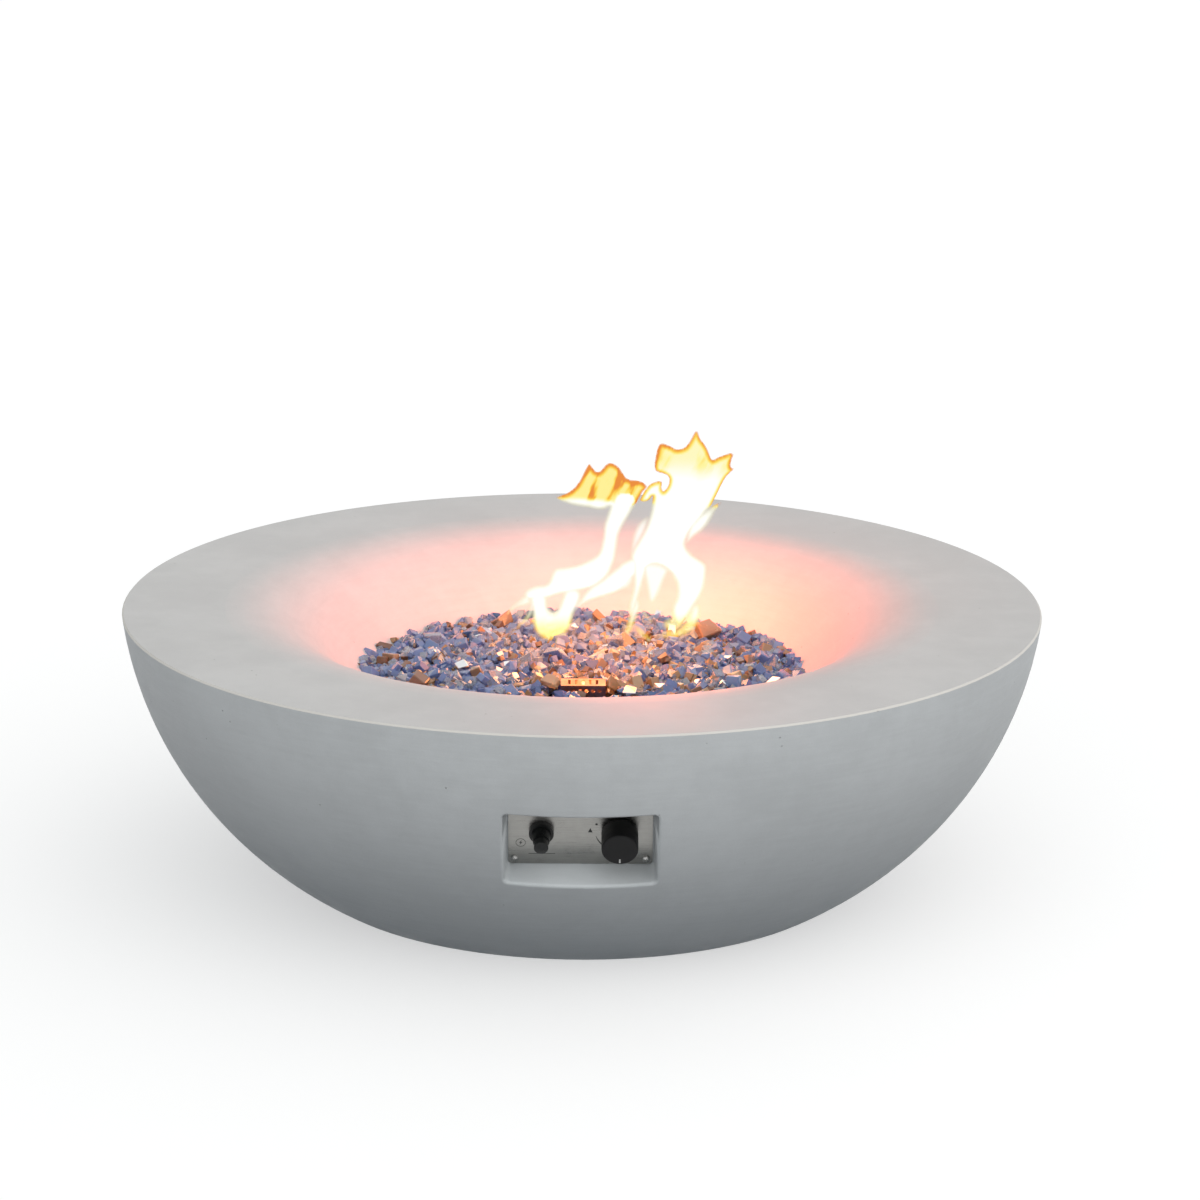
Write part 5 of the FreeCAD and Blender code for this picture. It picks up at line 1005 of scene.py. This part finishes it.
# Light of the flame: x, y, z, radius and the power of each colour. One group lights the dish and the other
# the glass, because a small lamp lights what is near it far more than the tall body of a real flame does.
# The last lamp for the dish stands over the front rim and gives it a faint glow.
DISH_LAMPS = (
    (0.125, 0.120, 0.323, 0.060, (1.70, 0.17, 0.06)),
    (0.060, 0.120, 0.323, 0.060, (1.85, 0.20, 0.08)),
    (-0.010, 0.120, 0.323, 0.060, (1.50, 0.19, 0.08)),
    (0.090, 0.110, 0.400, 0.060, (1.35, 0.30, 0.04)),
    (0.055, -0.405, 0.415, 0.050, (0.17, 0.012, 0.004)),
)
GLASS_LAMPS = (
    (0.120, 0.110, 0.330, 0.070, (0.64, 0.22, 0.05)),
    (0.020, 0.110, 0.330, 0.070, (0.80, 0.27, 0.06)),
    (-0.070, 0.100, 0.320, 0.070, (0.42, 0.15, 0.03)),
    (0.010, -0.020, 0.330, 0.080, (1.00, 0.22, 0.00)),
)
# Glow inside the guard: depth below its top, radius and power.
GUARD_LAMP_DEPTH = 0.012
GUARD_LAMP_RADIUS = 0.004
GUARD_LAMP = (0.10, 0.035, 0.010)
# Daylight that the recess for the controls gathers: place and size on the panel, and power.
RECESS_LIGHT_PLACE = (0.0, 0.026, 0.028)
RECESS_LIGHT_SIZE = (0.140, 0.026)
RECESS_LIGHT_POWER = 0.026


def flame_light(chips):
    """Small lamps in and near the flame, each linked to the dish or to the glass and the guard."""
    dish = bpy.data.collections.new("dish_light")
    dish.objects.link(frame["nodes"]["top_dish"])
    glass = bpy.data.collections.new("glass_light")
    for made in (frame["nodes"]["pilot_guard"], *chips):
        glass.objects.link(made)
    middle = (GUARD_LOW + GUARD_HIGH) / 2
    inside_guard = (middle.x, middle.y, GUARD_HIGH.z - GUARD_LAMP_DEPTH, GUARD_LAMP_RADIUS, GUARD_LAMP)
    for number, (x, y, z, radius, power) in enumerate((*DISH_LAMPS, *GLASS_LAMPS, inside_guard)):
        lamp = bpy.data.lights.new(f"flame_light_{number}", "POINT")
        lamp.energy = max(power)
        lamp.color = [channel / lamp.energy for channel in power]
        lamp.shadow_soft_size = radius
        made = bpy.data.objects.new(lamp.name, lamp)
        made.location = (x, y, z)
        made.visible_camera = False
        made.light_linking.receiver_collection = dish if number < len(DISH_LAMPS) else glass
        SCENE.collection.objects.link(made)


def recess_light():
    """Soft light on the floor of the recess, which faces the sky in front of the bowl."""
    shell = bpy.data.collections.new("recess_light")
    shell.objects.link(frame["nodes"]["bowl_shell"])
    lamp = bpy.data.lights.new("recess_light", "AREA")
    lamp.shape = "RECTANGLE"
    lamp.size, lamp.size_y = RECESS_LIGHT_SIZE
    lamp.energy = RECESS_LIGHT_POWER
    made = bpy.data.objects.new("recess_light", lamp)
    facing_down = Matrix.Rotation(-math.pi / 2, 4, "X")
    made.matrix_world = PANEL_FRAME @ Matrix.Translation(RECESS_LIGHT_PLACE) @ facing_down
    made.visible_camera = False
    made.light_linking.receiver_collection = shell
    SCENE.collection.objects.link(made)


# ---- Studio ----

FLOOR_RADIUS = 40.0
FLOOR_DROP = 0.0004
# The floor as it is seen: its own colour under the sky's light, and a plain glow.
FLOOR_COLOUR = (0.55, 0.55, 0.55)
FLOOR_GLOW = 0.52
# What the floor throws back on the bowl, near it and far from it, and the radius between them.
FLOOR_NEAR = 0.9
FLOOR_LIGHT_NEAR = (0.088, 0.100, 0.115)
FLOOR_LIGHT_FAR = (0.680, 0.650, 0.646)
# Soft lights of the sky: way they come from, how narrow they are, and their colour.
SKY_LIGHTS = (
    ((0, 0, 1), 4.0, (0.810, 0.854, 0.862)),
    ((0, -1, 0), 1.0, (1.475, 1.490, 1.480)),
    ((1, 0, 0), 1.0, (0.940, 0.900, 0.875)),
    ((0, 1, 0), 1.0, (0.570, 0.585, 0.590)),
)
# Camera: place, focal length and shift, and its roll.
CAMERA_PLACE = Vector((0.0, -4.7365, 1.620))
CAMERA_LENS = 124.83
CAMERA_SHIFT = (0.01503, 0.0015)
CAMERA_ROLL = math.radians(0.34)
CAMERA_REACH = 200


def seen_directly(tree):
    """1 for rays that show the background: straight from the camera, mirrored or through glass."""
    path = add(tree, "ShaderNodeLightPath")
    total = path.outputs["Is Camera Ray"]
    for name in ("Is Glossy Ray", "Is Transmission Ray"):
        total = maths(tree, "MAXIMUM", total, path.outputs[name])
    return total


def floor():
    """Wide pale floor that keeps the soft shadow under the bowl, dim under it and bright further out."""
    form = bmesh.new()
    bmesh.ops.create_circle(form, cap_ends=True, segments=128, radius=FLOOR_RADIUS)
    form.transform(Matrix.Translation((0, 0, -FLOOR_DROP)))
    made, tree = new_material("studio_floor")
    here = add(tree, "ShaderNodeTexCoord").outputs["Object"]
    reach = vector_maths(tree, "LENGTH", here, output="Value")
    outwards = remap(tree, reach, 0.8 * FLOOR_NEAR, 1.2 * FLOOR_NEAR)
    glow = blend_colours(tree, outwards, FLOOR_LIGHT_NEAR, FLOOR_LIGHT_FAR)
    ground = add(tree, "ShaderNodeEmission", {"Color": glow, "Strength": 1.0})
    shade = add(tree, "ShaderNodeBsdfDiffuse", {"Color": rgba(FLOOR_COLOUR)})
    white = add(tree, "ShaderNodeEmission", {"Color": rgba((1, 1, 1)), "Strength": FLOOR_GLOW})
    seen = add(tree, "ShaderNodeAddShader", {0: shade.outputs[0], 1: white.outputs[0]})
    choice = {0: seen_directly(tree), 1: ground.outputs[0], 2: seen.outputs[0]}
    shader = add(tree, "ShaderNodeMixShader", choice)
    add(tree, "ShaderNodeOutputMaterial", {"Surface": shader.outputs[0]})
    add_object("studio_floor", mesh_of("studio_floor", form), made)


def sky():
    """Soft daylight from above, the front, the right and behind, over a plain white background."""
    world = bpy.data.worlds.new("studio")
    SCENE.world = world
    world.use_nodes = True
    tree = world.node_tree
    tree.nodes.clear()
    way = add(tree, "ShaderNodeTexCoord").outputs["Generated"]
    total = (0, 0, 0)
    for source, narrow, colour in SKY_LIGHTS:
        facing = vector_maths(tree, "DOT_PRODUCT", way, source, output="Value")
        facing = maths(tree, "POWER", maths(tree, "MAXIMUM", facing, 0.0), narrow)
        total = vector_maths(tree, "MULTIPLY_ADD", facing, colour, total)
    light = add(tree, "ShaderNodeBackground", {"Color": total, "Strength": 1.0})
    white = add(tree, "ShaderNodeBackground", {"Color": rgba((1, 1, 1)), "Strength": 1.0})
    choice = {0: seen_directly(tree), 1: light.outputs[0], 2: white.outputs[0]}
    mixed = add(tree, "ShaderNodeMixShader", choice)
    add(tree, "ShaderNodeOutputWorld", {"Surface": mixed.outputs[0]})


def camera():
    made = bpy.data.objects.new("camera", bpy.data.cameras.new("camera"))
    SCENE.collection.objects.link(made)
    aim = Vector((0, 0, RIM_TOP)) - CAMERA_PLACE
    turn = aim.to_track_quat("-Z", "Y").to_matrix().to_4x4() @ Matrix.Rotation(CAMERA_ROLL, 4, "Z")
    made.matrix_world = Matrix.Translation(CAMERA_PLACE) @ turn
    made.data.sensor_width = 36
    made.data.lens = CAMERA_LENS
    made.data.shift_x, made.data.shift_y = CAMERA_SHIFT
    made.data.clip_end = CAMERA_REACH
    SCENE.camera = made


# ---- Springs ----


def shorten_springs():
    """Each coil spring gets a mesh of its own, and the way its joint presses it in is found, but it is not
    shortened.
    """
    for name, pressed_by in (("valve_spring", "knob_push"), ("igniter_spring", "igniter_press")):
        coil = frame["nodes"][name]
        joint = next(joint for joint in frame["joints"] if joint["name"] == pressed_by)
        inwards = Vector(joint["axis"]).normalized()
        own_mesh(coil)


# ---- Scene ----

materials = make_materials()
apply_materials(materials)
chips = fire_glass(materials["fire_glass"])
panel_marks()
flame()
flame_light(chips)
recess_light()
floor()
sky()
camera()
shorten_springs()
SCENE.view_settings.view_transform = "Standard"
SCENE.cycles.transparent_max_bounces = 48
